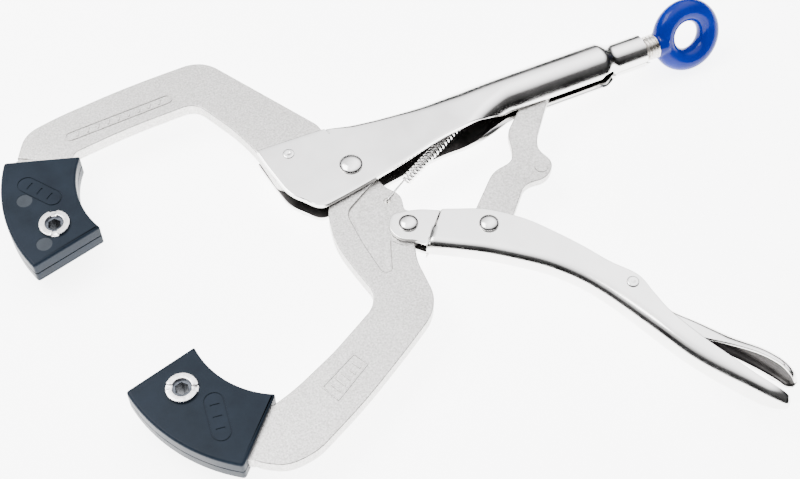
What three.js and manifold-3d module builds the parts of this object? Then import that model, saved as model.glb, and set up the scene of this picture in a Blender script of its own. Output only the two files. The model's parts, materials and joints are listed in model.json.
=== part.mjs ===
// Locking pliers with C-shaped jaws and two bolted clamping pads.
//
// Every piece is drawn in the tool's own plane: the main pivot is at x = y = 0, +X runs along the adjusting
// screw towards its eye, +Y points away from the lever handle, and z = 0 is the plane in which the jaws and
// the toggle link lie. At the end the whole tool is set down with its origin under the middle of its box.
// All sizes are in millimetres. An outline is a list of corners [x, y, rounding].

import * as THREE from 'three';
import { mergeVertices } from 'three/addons/utils/BufferGeometryUtils.js';
import Module from 'manifold-3d';

const wasm = await Module();
wasm.setup();

// ---- driving dimensions -------------------------------------------------------------------------------

const ROUND_SIDES = 20; // facets of holes, rivets and bolts
const THREAD_SIDES = 16;
const HOLE_CLEARANCE = 0.1; // radial, every pin in its hole
const FACE_GAP = 0.05; // between a head and the plate under it
const CUT_THROUGH = 40; // longer than any thickness here

const JAW_THICKNESS = 5.5;
const LUG_THICKNESS = 3.7; // moving jaw where the lever's ears straddle it
const HUB_RADIUS = 10.5; // moving jaw round the main pivot
const HUB_CLEARANCE = 1.4; // fixed jaw to the hub

const HANDLE_SHEET = 2.0;
const HANDLE_SIDE_GAP = 0.35; // each side of the jaws
const TUBE_RADIUS = 9.1;
const SCREW_AXIS_Y = 8.1;
const COLLAR_RADIUS = 6.6;
const COLLAR_START = 117.5;
const COLLAR_END = 130.5;
const SLOT_CLEARANCE = 0.65; // each side of the toggle link
const SLOT_START = 58;
const NOTCH_X = 110.8; // round end of the handle's slot
const NOTCH_RADIUS = 3.9;
const SPINE_START = -2.4; // the handle's back begins behind the fixed jaw
const SPRING_TAB_X = 57; // tab under the handle's back that holds the return spring
const SPRING_TAB_THICKNESS = 1.6;
const SPRING_TAB_DROP = 5;

const LEVER_SHEET = 1.7;
const EAR_GAP = 0.25; // between an ear and the jaw's lug
const LEVER_FRONT_HALF = 4.65;
const LEVER_REAR_HALF = 6.2;
const RELEASE_SHEET = 1.2;
const RELEASE_CLEARANCE = 0.35; // release lever to the lever's side walls

const LINK_THICKNESS = 3.7;
const LINK_BOSS_RISE = 0.25;

const MAIN_PIVOT = [0, 0];
const LEVER_PIVOT = [8.9, -32.5];
const LINK_PIVOT = [35.4, -45.4];
const RELEASE_PIVOT = [70.7, -89.3];
const LINK_BEARING = [86, SCREW_AXIS_Y]; // centre of the link's free end
const LINK_END_RADIUS = 4.8;
const JAW_RIVET = [-19.5, 14.4];
const HOOK_HOLE = [6.5, -18.8];
const HOOK_HOLE_RADIUS = 1.3;

const MAIN_RIVET_RADIUS = 3.2;
const MAIN_HEAD_RADIUS = 4.4;
const LEVER_RIVET_RADIUS = 2.6;
const LEVER_HEAD_RADIUS = 3.65;
const SMALL_RIVET_RADIUS = 1.7;
const SMALL_HEAD_RADIUS = 2.2;
const DOME_HEIGHT = 1.7;
const SMALL_DOME_HEIGHT = 0.5;
const DOME_RIM = 0.2; // share of a dome's height that is its straight rim

const SCREW_RADIUS = 5.0; // M10 x 1.5
const SCREW_PITCH = 1.5;
const THREAD_DEPTH = 0.6;
const NOSE_GAP = 1.4; // screw nose to the link's end
const NOSE_RADIUS = 3.4;
const NOSE_LENGTH = 4;
const THREAD_START = 104;
const EYE_CENTRE_X = 151;
const EYE_RING_RADIUS = 9; // centre line of the ring
const EYE_CORE_RADIUS = 3.1;
const COATING_THICKNESS = 1.15;
const COATING_GAP = 0.1;
const EYE_TURN = THREE.MathUtils.degToRad(50); // ring's plane from the tool's plane
const COATING_NECK_START = 136.8;
const NECK_CORE_RADIUS = 3.9;

const PAD_HALF_THICKNESS = 5.35;
const PAD_PARTING_GAP = 0.15; // each side of the mid-plane
const PAD_ARC_CENTRE = [61.5, 6.5];
const PAD_OUTER_RADIUS = 61.8;
const PAD_INNER_RADIUS = 34;
const PAD_FAR_ANGLE_OUTER = THREE.MathUtils.degToRad(138.3);
const PAD_FAR_ANGLE_INNER = THREE.MathUtils.degToRad(130.5);
const PAD_CORNER = 1.6;
const PAD_WALL = 3.6; // pad edge to the jaw arm inside it
const PAD_FACE_WALL = 4.6; // clamping face to the arm's end
const ARM_CLEARANCE = 0.3;
const PAD_BOLT = [15.6, 11.2];
const NUT_BARREL_RADIUS = 4.9;
const NUT_BORE_RADIUS = 3.9;
const FLANGE_RADIUS = 5.7;
const FLANGE_THICKNESS = 1.1;
const FLANGE_SLOT_WIDTH = 2.1;
const BOLT_SOCKET_FLATS = 5;
const FIXED_PAD = { origin: [-121.8, 4.8], turn: THREE.MathUtils.degToRad(14.25), side: 1 };
const MOVING_PAD = { origin: [-107.7, -56.7], turn: THREE.MathUtils.degToRad(14.25), side: -1 };

// ---- materials ----------------------------------------------------------------------------------------

const finish = (color, roughness, metalness) => (
  new THREE.MeshStandardMaterial({ color, roughness, metalness })
);
const satinNickel = finish(0xc9c6c0, 0.42, 1);
const polishedNickel = finish(0xd6d4cf, 0.2, 1);
const rivetSteel = finish(0xd0cecb, 0.25, 1);
const threadSteel = finish(0xbdbab4, 0.35, 1);
const blackOxide = finish(0x24262a, 0.45, 1);
const springSteel = finish(0xb9bbbd, 0.25, 1);
const blueVinyl = finish(0x0b3fb4, 0.15, 0);
const padPlastic = finish(0x222a33, 0.5, 0);

// ---- shape helpers ------------------------------------------------------------------------------------

// Closed outline through corners [x, y, rounding].
function outline(corners) {
  const at = (i) => new THREE.Vector2(...corners[(i + corners.length) % corners.length].slice(0, 2));
  const shape = new THREE.Shape();
  corners.forEach(([, , rounding = 0], i) => {
    const corner = at(i);
    const back = at(i - 1).sub(corner);
    const ahead = at(i + 1).sub(corner);
    const reach = Math.min(rounding, 0.48 * back.length(), 0.48 * ahead.length());
    const enter = corner.clone().addScaledVector(back.normalize(), reach);
    const leave = corner.clone().addScaledVector(ahead.normalize(), reach);
    if (i === 0) shape.moveTo(enter.x, enter.y);
    else shape.lineTo(enter.x, enter.y);
    if (reach > 0) shape.quadraticCurveTo(corner.x, corner.y, leave.x, leave.y);
  });
  shape.closePath();
  return shape;
}

// Manifold solid of a closed three.js geometry, whichever way its faces were wound.
function solid(geometry) {
  const bare = geometry.index ? geometry.toNonIndexed() : geometry.clone();
  bare.deleteAttribute('normal');
  bare.deleteAttribute('uv');
  const merged = mergeVertices(bare, 1e-4);
  const vertProperties = merged.attributes.position.array;
  const triVerts = new Uint32Array(merged.index.array);
  const body = (triVerts) => new wasm.Manifold(new wasm.Mesh({ numProp: 3, vertProperties, triVerts }));
  const wound = body(triVerts);
  return wound.volume() < 0 ? body(triVerts.reverse()) : wound;
}

function plate(shape, low, high) {
  const options = { depth: high - low, bevelEnabled: false, curveSegments: 4 };
  return solid(new THREE.ExtrudeGeometry(shape, options).translate(0, 0, low));
}

// Round solid along z from a profile of [radius, z] points.
function turned([x, y], profile) {
  const points = profile.map(([radius, z]) => new THREE.Vector2(radius, z));
  const geometry = new THREE.LatheGeometry(points, ROUND_SIDES);
  return solid(geometry.rotateX(Math.PI / 2).translate(x, y, 0));
}

const pin = (centre, radius, low, high) => (
  turned(centre, [[0, low], [radius, low], [radius, high], [0, high]])
);
const hole = (centre, radius) => pin(centre, radius + HOLE_CLEARANCE, -CUT_THROUGH / 2, CUT_THROUGH / 2);

// Round solid along +X from a profile of [x, radius] points.
function turnedAlongX(profile, centreY, sides = ROUND_SIDES) {
  const points = profile.map(([x, radius]) => new THREE.Vector2(radius, x));
  const geometry = new THREE.LatheGeometry(points, sides);
  return solid(geometry.rotateZ(-Math.PI / 2).translate(0, centreY, 0));
}

function box(lowCorner, highCorner) {
  const size = highCorner.map((value, i) => value - lowCorner[i]);
  const centre = highCorner.map((value, i) => (value + lowCorner[i]) / 2);
  return solid(new THREE.BoxGeometry(...size).translate(...centre));
}

// Closed solid through rings of points, each ring a convex loop with the same number of points.
function loft(rings) {
  const count = rings[0].length;
  const points = rings.flat();
  const triangles = [];
  const middle = (ring) => ring.reduce((sum, p) => sum.add(p), new THREE.Vector3()).divideScalar(count);
  const firstMiddle = points.push(middle(rings[0])) - 1;
  const lastMiddle = points.push(middle(rings[rings.length - 1])) - 1;
  for (let k = 0; k < count; k += 1) {
    const next = (k + 1) % count;
    for (let r = 0; r < rings.length - 1; r += 1) {
      const [a, b, c, d] = [r * count + k, r * count + next, (r + 1) * count + next, (r + 1) * count + k];
      triangles.push(a, b, c, a, c, d);
    }
    const last = (rings.length - 1) * count;
    triangles.push(firstMiddle, next, k, lastMiddle, last + k, last + next);
  }
  const geometry = new THREE.BufferGeometry().setFromPoints(points);
  geometry.setIndex(triangles);
  return solid(geometry);
}

// Value at x of a line through [x, value] pairs, eased between them.
function along(pairs, x) {
  if (x <= pairs[0][0]) return pairs[0][1];
  for (let i = 1; i < pairs.length; i += 1) {
    const [[x0, v0], [x1, v1]] = [pairs[i - 1], pairs[i]];
    if (x <= x1) return THREE.MathUtils.lerp(v0, v1, THREE.MathUtils.smoothstep(x, x0, x1));
  }
  return pairs[pairs.length - 1][1];
}

const parts = [];

function addPart(name, body, material) {
  const { numProp, vertProperties, triVerts } = body.getMesh();
  const geometry = new THREE.BufferGeometry();
  const positions = new Float32Array((vertProperties.length / numProp) * 3);
  for (let i = 0; i < positions.length / 3; i += 1) {
    for (let k = 0; k < 3; k += 1) positions[3 * i + k] = vertProperties[numProp * i + k];
  }
  geometry.setAttribute('position', new THREE.BufferAttribute(positions, 3));
  geometry.setIndex(Array.from(triVerts));
  const mesh = new THREE.Mesh(geometry, material);
  mesh.name = name;
  parts.push(mesh);
}

// ---- pads: a ring sector in its own frame, u along the clamping face, v into the pad --------------------

function placeOnPad(body, { origin, turn, side }) {
  const u = [Math.cos(turn), Math.sin(turn)];
  const v = [-u[1] * side, u[0] * side];
  return body.transform([u[0], u[1], 0, 0, v[0], v[1], 0, 0, 0, 0, 1, 0, origin[0], origin[1], 0, 1]);
}

const padPoint = (radius, angle) => [
  PAD_ARC_CENTRE[0] + radius * Math.cos(angle),
  PAD_ARC_CENTRE[1] + radius * Math.sin(angle),
];

// Sector between two radii, from the line v = start to the far angles, its corners rounded.
function padSector(inset, start, extraAngle, corner) {
  const steps = 8;
  const arc = (radius, farAngle) => {
    const nearAngle = Math.PI - Math.asin((start - PAD_ARC_CENTRE[1]) / radius);
    const last = farAngle - extraAngle;
    return Array.from({ length: steps + 1 }, (_, i) => {
      const angle = THREE.MathUtils.lerp(nearAngle, last, i / steps);
      return [...padPoint(radius, angle), i % steps ? 0 : corner];
    });
  };
  const outer = arc(PAD_OUTER_RADIUS - inset, PAD_FAR_ANGLE_OUTER);
  const inner = arc(PAD_INNER_RADIUS + inset, PAD_FAR_ANGLE_INNER);
  return outline([...inner, ...outer.reverse()]);
}

function addPad(prefix, frame) {
  const half = JAW_THICKNESS / 2 + ARM_CLEARANCE;
  const pocketShape = padSector(PAD_WALL - ARM_CLEARANCE, PAD_FACE_WALL - ARM_CLEARANCE, 0.4, 2);
  const pocket = plate(pocketShape, -half, half);
  const whole = padSector(0, 0, 0, PAD_CORNER);
  const opening = pocket.add(hole(PAD_BOLT, NUT_BARREL_RADIUS));
  const shell = (low, high) => placeOnPad(plate(whole, low, high).subtract(opening), frame);
  addPart(`${prefix}_pad_front_shell`, shell(PAD_PARTING_GAP, PAD_HALF_THICKNESS), padPlastic);
  addPart(`${prefix}_pad_back_shell`, shell(-PAD_HALF_THICKNESS, -PAD_PARTING_GAP), padPlastic);

  const face = PAD_HALF_THICKNESS + FACE_GAP;
  const flangeTop = face + FLANGE_THICKNESS;
  const barrelEnd = -PAD_HALF_THICKNESS + FACE_GAP;
  const bore = NUT_BORE_RADIUS + HOLE_CLEARANCE;
  const nut = turned(PAD_BOLT, [
    [bore, barrelEnd],
    [NUT_BARREL_RADIUS, barrelEnd],
    [NUT_BARREL_RADIUS, face],
    [FLANGE_RADIUS, face],
    [FLANGE_RADIUS, flangeTop - 0.4],
    [FLANGE_RADIUS - 0.4, flangeTop],
    [bore, flangeTop],
    [bore, barrelEnd],
  ]);
  const halfSlot = FLANGE_SLOT_WIDTH / 2;
  const slot = box(
    [PAD_BOLT[0] - halfSlot, PAD_BOLT[1] - CUT_THROUGH / 2, face + 0.3],
    [PAD_BOLT[0] + halfSlot, PAD_BOLT[1] + CUT_THROUGH / 2, face + CUT_THROUGH],
  );
  addPart(`${prefix}_pad_sleeve_nut`, placeOnPad(nut.subtract(slot), frame), rivetSteel);

  const head = -PAD_HALF_THICKNESS - FACE_GAP;
  const bolt = turned(PAD_BOLT, [
    [0, head - FLANGE_THICKNESS],
    [FLANGE_RADIUS - 0.4, head - FLANGE_THICKNESS],
    [FLANGE_RADIUS, head - FLANGE_THICKNESS + 0.4],
    [FLANGE_RADIUS, head],
    [NUT_BORE_RADIUS, head],
    [NUT_BORE_RADIUS, face],
    [0, face],
  ]);
  const socketCorner = BOLT_SOCKET_FLATS / 2 / Math.cos(Math.PI / 6);
  const hexagon = new THREE.CylinderGeometry(socketCorner, socketCorner, CUT_THROUGH, 6).rotateX(Math.PI / 2);
  const socket = solid(hexagon.translate(PAD_BOLT[0], PAD_BOLT[1], 0));
  addPart(`${prefix}_pad_bolt`, placeOnPad(bolt.subtract(socket), frame), blackOxide);
}

// The end of a jaw, inside its pad, with the bolt's hole.
function padArm(frame) {
  const half = JAW_THICKNESS / 2;
  const arm = plate(padSector(PAD_WALL, PAD_FACE_WALL, 0.06, 2), -half, half);
  return placeOnPad(arm.subtract(hole(PAD_BOLT, NUT_BARREL_RADIUS)), frame);
}

// ---- jaws -----------------------------------------------------------------------------------------------

function addFixedJaw() {
  const half = JAW_THICKNESS / 2;
  const bay = HUB_RADIUS + HUB_CLEARANCE;
  const bayArc = [165, 150, 135, 120, 105].map((degrees) => {
    const angle = THREE.MathUtils.degToRad(degrees);
    return [bay * Math.cos(angle), bay * Math.sin(angle), 0];
  });
  const shape = outline([
    [-113.4, 56.6, 0],
    [-107.6, 66.8, 6],
    [-93.7, 69.8, 12],
    [-64.1, 73.2, 14],
    [-32.9, 74.2, 8.5],
    [-2.9, 23.8, 3],
    [-3.6, 13, 0.6],
    ...bayArc.reverse(),
    [-14.2, 3.4, 0],
    [-25.4, -2.6, 1.5],
    [-27.2, 2, 4],
    [-28.6, 12, 6],
    [-29.8, 22.4, 6],
    [-33.4, 34.4, 8],
    [-42.8, 54.4, 5.5],
    [-70, 53.3, 12],
    [-92.3, 50.4, 1.5],
    [-95.4, 47, 0],
  ]);
  const body = plate(shape, -half, half).add(padArm(FIXED_PAD));
  addPart('fixed_jaw', body.subtract(hole(JAW_RIVET, SMALL_RIVET_RADIUS)), satinNickel);
}

function movingJawRecess() {
  return outline([
    [3.6, -6.6, 0],
    [-7.4, -15.6, 3],
    [-9.6, -22, 4],
    [-10.2, -33, 8],
    [-7.9, -47.4, 1.6],
    [-4.7, -48.2, 1.6],
    [0.1, -35.4, 0.8],
    [2.7, -39, 2],
    [8.4, -42.6, 1],
    [10.2, -46, 0],
    [24, -46, 0],
    [24, -6.6, 0],
  ]);
}

function addMovingJaw() {
  const half = JAW_THICKNESS / 2;
  const shape = outline([
    [-9.6, -4.4, 0],
    [-16.4, -16.4, 3],
    [-18.8, -29, 10],
    [-16.9, -42, 10],
    [-14.4, -54, 6],
    [-17.6, -59.6, 5],
    [-36.8, -70.3, 4],
    [-54.5, -78.2, 8],
    [-64.6, -81.2, 0],
    [-78.4, -95.4, 0],
    [-75.2, -99.2, 3],
    [-67.6, -103.9, 7],
    [-56.6, -103.4, 7],
    [-34.2, -92.4, 10],
    [-13.1, -79.8, 10],
    [0.6, -71, 8],
    [5, -63.8, 6],
    [5.4, -48, 12],
    [8, -39.5, 2],
    [16.8, -37.6, 6],
    [15.4, -27.6, 5],
    [10.6, -25.2, 1.5],
    [12.4, -18.2, 3],
    [8.4, -12.6, 2],
    [6.8, -6.6, 0],
  ]);
  const hub = pin(MAIN_PIVOT, HUB_RADIUS, -half, half);
  const recess = movingJawRecess();
  const body = plate(shape, -half, half)
    .add(hub)
    .add(padArm(MOVING_PAD))
    .subtract(plate(recess, LUG_THICKNESS / 2, CUT_THROUGH / 2))
    .subtract(plate(recess, -CUT_THROUGH / 2, -LUG_THICKNESS / 2))
    .subtract(hole(MAIN_PIVOT, MAIN_RIVET_RADIUS))
    .subtract(hole(LEVER_PIVOT, LEVER_RIVET_RADIUS))
    .subtract(pin(HOOK_HOLE, HOOK_HOLE_RADIUS, -CUT_THROUGH / 2, CUT_THROUGH / 2));
  addPart('moving_jaw', body, satinNickel);
}

// ---- upper handle: flat-sided channel in front, rolled tube behind, neck round the screw ----------------

const HANDLE_FRONT_HALF = JAW_THICKNESS / 2 + HANDLE_SIDE_GAP + HANDLE_SHEET;
const TUBE_TOP = SCREW_AXIS_Y + TUBE_RADIUS;
const SIDE_BOTTOM = -24; // the unrolled sides reach below the handle's lower edge
const HANDLE_STATIONS = [
  -34, -2.5, 5, 14, 22, 30, 38, 46, 54, 59, 63, 68, 80, 94, 107, 111, 115, COLLAR_START,
];

function handleSize(x) {
  const top = along([[-2.5, 20.2], [14, 17.1], [34, 15.3], [50, 16.6], [68, TUBE_TOP]], x);
  const half = along([[10, HANDLE_FRONT_HALF], [48, 8.7], [59, 8.8], [63, 8.5], [68, TUBE_RADIUS]], x);
  const roll = along([[8, 0], [56, 0.62], [68, 1]], x);
  return { top, half, roll };
}

// Ring of points round the handle at x, from the middle of the underside.
function handleRing(x, inset) {
  const { top, half, roll } = handleSize(x);
  const neck = THREE.MathUtils.smoothstep(x, 109, COLLAR_START) * (TUBE_RADIUS - COLLAR_RADIUS);
  const w = half - inset - neck;
  const high = top - inset - neck;
  const low = SIDE_BOTTOM + inset;
  const corner = Math.min(3, w * 0.7);
  const flat = [[0, low], [w / 2, low], [w, low], [w, low / 2], [w, 0], [w, high - corner]];
  for (const degrees of [22.5, 45, 67.5, 90]) {
    const angle = THREE.MathUtils.degToRad(degrees);
    flat.push([w - corner + corner * Math.cos(angle), high - corner + corner * Math.sin(angle)]);
  }
  flat.push([0, high]);
  const roundAngles = [-90, -72, -54, -30, -6, 18, 36, 50, 63, 76, 90];
  const side = flat.map(([z, y], i) => {
    const angle = THREE.MathUtils.degToRad(roundAngles[i]);
    const roundZ = w * Math.cos(angle);
    const roundY = high - w + w * Math.sin(angle);
    return new THREE.Vector3(x, THREE.MathUtils.lerp(y, roundY, roll), THREE.MathUtils.lerp(z, roundZ, roll));
  });
  side[0].z = 0;
  side[side.length - 1].z = 0;
  const otherSide = side.slice(1, -1).reverse();
  return [...side, ...otherSide.map((p) => new THREE.Vector3(p.x, p.y, -p.z))];
}

function handleSideOutline() {
  const above = 60;
  const below = -60;
  return outline([
    [-30.1, 20.9, 0.8],
    [SPINE_START, 20, 0],
    [SPINE_START, above, 0],
    [COLLAR_END + 20, above, 0],
    [COLLAR_END + 20, below, 0],
    [64, below, 0],
    [64, -2.1, 0],
    [36, -3.1, 8],
    [22.1, -6.3, 8],
    [6.7, -9.2, 6],
    [-4, -11.4, 6],
    [-17.6, -13.6, 7],
    [-26.6, -2.2, 6],
    [-29, 12, 6],
  ]);
}

function addUpperHandle() {
  const stations = HANDLE_STATIONS;
  const outer = loft(stations.map((x) => handleRing(x, 0)));
  const inner = loft([...stations.slice(0, -1), COLLAR_START - 0.4].map((x) => handleRing(x, HANDLE_SHEET)));
  const collar = turnedAlongX([
    [COLLAR_START - 1, 0],
    [COLLAR_START - 1, COLLAR_RADIUS],
    [COLLAR_END - 0.6, COLLAR_RADIUS],
    [COLLAR_END, COLLAR_RADIUS - 0.5],
    [COLLAR_END, 0],
  ], SCREW_AXIS_Y);
  const boreRadius = SCREW_RADIUS + HOLE_CLEARANCE;
  const bore = turnedAlongX([
    [NOTCH_X, 0],
    [NOTCH_X, boreRadius],
    [COLLAR_END + 10, boreRadius],
    [COLLAR_END + 10, 0],
  ], SCREW_AXIS_Y);
  const halfSlot = LINK_THICKNESS / 2 + SLOT_CLEARANCE;
  const slot = box([SLOT_START, -40, -halfSlot], [NOTCH_X, SCREW_AXIS_Y - 4, halfSlot]);
  const notchCylinder = new THREE.CylinderGeometry(NOTCH_RADIUS, NOTCH_RADIUS, 44, ROUND_SIDES);
  const notch = solid(notchCylinder.translate(NOTCH_X, SCREW_AXIS_Y - 26, 0));
  const frontGap = JAW_THICKNESS / 2 + HANDLE_SIDE_GAP;
  const frontOpening = box([-45, -45, -frontGap], [SPINE_START, 45, frontGap]);
  const spineBottom = handleSize(SPRING_TAB_X).top - HANDLE_SHEET;
  const halfTab = SPRING_TAB_THICKNESS / 2;
  const tab = box(
    [SPRING_TAB_X - halfTab, spineBottom - SPRING_TAB_DROP, -SPRING_TAB_THICKNESS],
    [SPRING_TAB_X + halfTab, spineBottom + HANDLE_SHEET / 2, SPRING_TAB_THICKNESS],
  );
  const body = outer
    .subtract(inner)
    .intersect(plate(handleSideOutline(), -CUT_THROUGH, CUT_THROUGH))
    .add(collar)
    .add(tab)
    .subtract(bore)
    .subtract(slot)
    .subtract(notch)
    .subtract(frontOpening)
    .subtract(hole(MAIN_PIVOT, MAIN_RIVET_RADIUS))
    .subtract(hole(JAW_RIVET, SMALL_RIVET_RADIUS));
  addPart('upper_handle', body, polishedNickel);
}

// ---- lever handle and release lever: channels through [spine point, edge point] stations ----------------

// Ring of a U-shaped channel: s and e are the spine and edge points of a station.
function channelRing({ spine, edge, half, corner }, inset, overshoot) {
  const s = new THREE.Vector2(...spine);
  const e = new THREE.Vector2(...edge);
  const up = e.clone().sub(s);
  const height = up.length();
  up.normalize();
  const w = half - inset;
  const r = Math.max(Math.min(corner - inset, w * 0.98), 0.2);
  const top = height + overshoot;
  const side = [[0, inset], [(w - r) / 2, inset]];
  for (const degrees of [0, 22.5, 45, 67.5, 90]) {
    const angle = THREE.MathUtils.degToRad(degrees);
    side.push([w - r + r * Math.sin(angle), inset + r - r * Math.cos(angle)]);
  }
  side.push([w, Math.max(top, inset + r + 0.3)]);
  const place = ([z, h]) => new THREE.Vector3(s.x + up.x * h, s.y + up.y * h, z);
  const right = side.map(place);
  const left = side.slice(1).reverse().map(([z, h]) => place([-z, h]));
  return [...right, ...left];
}

function channel(stations, sheet, innerStart, innerEnd) {
  const outer = loft(stations.map((station) => channelRing(station, 0, 0)));
  const middle = stations.slice(innerStart.skip, stations.length - innerEnd.skip);
  const before = innerStart.station ? [innerStart.station] : [];
  const after = innerEnd.station ? [innerEnd.station] : [];
  const inner = loft([...before, ...middle, ...after].map((station) => channelRing(station, sheet, 6)));
  return outer.subtract(inner);
}

const LEVER_STATIONS = [
  { spine: [10.8, -43.8], edge: [22.0, -31.8], half: LEVER_FRONT_HALF, corner: 2.4 },
  { spine: [19.0, -48.9], edge: [27.6, -34.2], half: LEVER_FRONT_HALF, corner: 2.4 },
  { spine: [29.4, -55.6], edge: [37.5, -39.0], half: LEVER_FRONT_HALF + 0.1, corner: 2.6 },
  { spine: [39.5, -63.6], edge: [48.2, -48.4], half: LEVER_FRONT_HALF + 0.2, corner: 2.9 },
  { spine: [47.1, -70.4], edge: [56.0, -58.8], half: LEVER_FRONT_HALF + 0.3, corner: 3.2 },
  { spine: [53.8, -78.6], edge: [62.3, -68.6], half: LEVER_FRONT_HALF + 0.4, corner: 3.4 },
  { spine: [58.6, -86.5], edge: [67.6, -78.0], half: LEVER_FRONT_HALF + 0.5, corner: 3.6 },
  { spine: [62.6, -94.9], edge: [74.0, -87.2], half: LEVER_FRONT_HALF + 0.6, corner: 3.8 },
  { spine: [66.2, -103.6], edge: [75.4, -96.2], half: LEVER_FRONT_HALF + 0.8, corner: 4.2 },
  { spine: [70.2, -113.6], edge: [76.8, -105.2], half: LEVER_FRONT_HALF + 1.0, corner: 4.6 },
  { spine: [74.2, -122.9], edge: [81.1, -117.8], half: LEVER_REAR_HALF - 0.4, corner: 5.0 },
  { spine: [79.0, -131.6], edge: [86.0, -129.3], half: LEVER_REAR_HALF - 0.1, corner: 5.4 },
  { spine: [84.6, -140.2], edge: [90.2, -139.0], half: LEVER_REAR_HALF, corner: 5.4 },
  { spine: [90.0, -147.8], edge: [94.0, -145.6], half: LEVER_REAR_HALF - 0.6, corner: 4.2 },
  { spine: [94.4, -152.0], edge: [97.0, -149.4], half: LEVER_REAR_HALF - 2.6, corner: 2.8 },
  { spine: [96.4, -152.8], edge: [97.6, -151.6], half: LEVER_REAR_HALF - 4.6, corner: 1.0 },
];

function earOutline() {
  return outline([
    [1.8, -25.6, 6.6],
    [14.2, -27.8, 6],
    [24.5, -33, 0],
    [16, -47, 0],
    [11.4, -43.6, 1],
    [8.6, -40.2, 2.4],
    [1.7, -38.8, 6.4],
  ]);
}

function addLeverHandle() {
  const beforeFront = { ...LEVER_STATIONS[0], spine: [6.8, -41.2], edge: [17.8, -29.2] };
  const nearTip = { ...LEVER_STATIONS[13], half: 4.2, corner: 3.2 };
  const trough = channel(
    LEVER_STATIONS,
    LEVER_SHEET,
    { skip: 0, station: beforeFront },
    { skip: 3, station: nearTip },
  );
  const earInner = LUG_THICKNESS / 2 + EAR_GAP;
  const earOuter = earInner + LEVER_SHEET;
  const lugSpace = plate(earOutline(), -earInner, earInner);
  const body = trough
    .add(plate(earOutline(), -earOuter, earOuter).subtract(lugSpace))
    .subtract(hole(LEVER_PIVOT, LEVER_RIVET_RADIUS))
    .subtract(hole(LINK_PIVOT, LEVER_RIVET_RADIUS))
    .subtract(hole(RELEASE_PIVOT, SMALL_RIVET_RADIUS));
  addPart('lever_handle', body, polishedNickel);
}

const RELEASE_HALF = LEVER_FRONT_HALF - LEVER_SHEET - RELEASE_CLEARANCE;

// The release lever is an upside-down channel: its spine faces the upper handle.
const RELEASE_STATIONS = [
  { spine: [48.4, -57.6], edge: [45.2, -61.6], half: RELEASE_HALF, corner: 1.2 },
  { spine: [56.2, -67.2], edge: [51.8, -71.0], half: RELEASE_HALF, corner: 1.4 },
  { spine: [63.2, -76.6], edge: [57.8, -80.8], half: RELEASE_HALF, corner: 1.4 },
  { spine: [69.8, -86.0], edge: [63.9, -90.2], half: RELEASE_HALF, corner: 1.6 },
  { spine: [74.4, -94.6], edge: [67.5, -97.8], half: RELEASE_HALF, corner: 1.8 },
  { spine: [79.0, -103.6], edge: [71.6, -107.2], half: RELEASE_HALF + 0.2, corner: 2.2 },
  { spine: [85.5, -111.9], edge: [79.5, -115.6], half: RELEASE_HALF + 0.6, corner: 2.8 },
  { spine: [93.2, -122.2], edge: [89.3, -124.9], half: RELEASE_HALF + 1.8, corner: 3.2 },
  { spine: [99.6, -130.2], edge: [95.9, -132.6], half: RELEASE_HALF + 3.2, corner: 3.2 },
  { spine: [103.6, -137.6], edge: [100.1, -139.4], half: RELEASE_HALF + 3.4, corner: 3.0 },
  { spine: [104.8, -142.8], edge: [101.6, -144.0], half: RELEASE_HALF + 2.2, corner: 2.6 },
  { spine: [104.2, -146.0], edge: [102.4, -146.4], half: RELEASE_HALF - 0.6, corner: 1.0 },
];

function addReleaseLever() {
  const noseFront = { ...RELEASE_STATIONS[0], spine: [44.6, -53.4], edge: [41.4, -57.4] };
  const nearTip = { ...RELEASE_STATIONS[10], half: 3.6, corner: 2.2 };
  const trough = channel(
    RELEASE_STATIONS,
    RELEASE_SHEET,
    { skip: 0, station: noseFront },
    { skip: 2, station: nearTip },
  );
  addPart('release_lever', trough.subtract(hole(RELEASE_PIVOT, SMALL_RIVET_RADIUS)), polishedNickel);
}

// ---- toggle link ----------------------------------------------------------------------------------------

function addToggleLink() {
  const half = LINK_THICKNESS / 2;
  const [endX, endY] = LINK_BEARING;
  const direction = [0.68, 0.733];
  const corner = (ahead, across) => [
    endX + LINK_END_RADIUS * (ahead * direction[0] - across * direction[1]),
    endY + LINK_END_RADIUS * (ahead * direction[1] + across * direction[0]),
    LINK_END_RADIUS * 0.95,
  ];
  const shape = outline([
    corner(1, 1),
    [69, -1.6, 6],
    [61.6, -8.4, 3.5],
    [60.2, -15, 3.5],
    [57.6, -21.2, 3.5],
    [48.2, -22.8, 3.5],
    [35.5, -34.9, 6],
    [28.8, -41.4, 5.6],
    [33.4, -52.4, 5.6],
    [42.2, -48.4, 5.6],
    [56.6, -33.0, 3.5],
    [65.8, -33.8, 3.5],
    [71.6, -28.4, 4.5],
    [68.8, -20.2, 4.5],
    [71.2, -15, 4.5],
    [83.3, -0.4, 6],
    corner(1, -1),
  ]);
  const boss = turned([66, -28.4], [
    [0, -half - LINK_BOSS_RISE],
    [2.4, -half - LINK_BOSS_RISE],
    [3, -half],
    [3, half],
    [2.4, half + LINK_BOSS_RISE],
    [0, half + LINK_BOSS_RISE],
  ]);
  const body = plate(shape, -half, half).add(boss).subtract(hole(LINK_PIVOT, LEVER_RIVET_RADIUS));
  addPart('toggle_link', body, satinNickel);
}

// ---- rivets ---------------------------------------------------------------------------------------------

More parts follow.
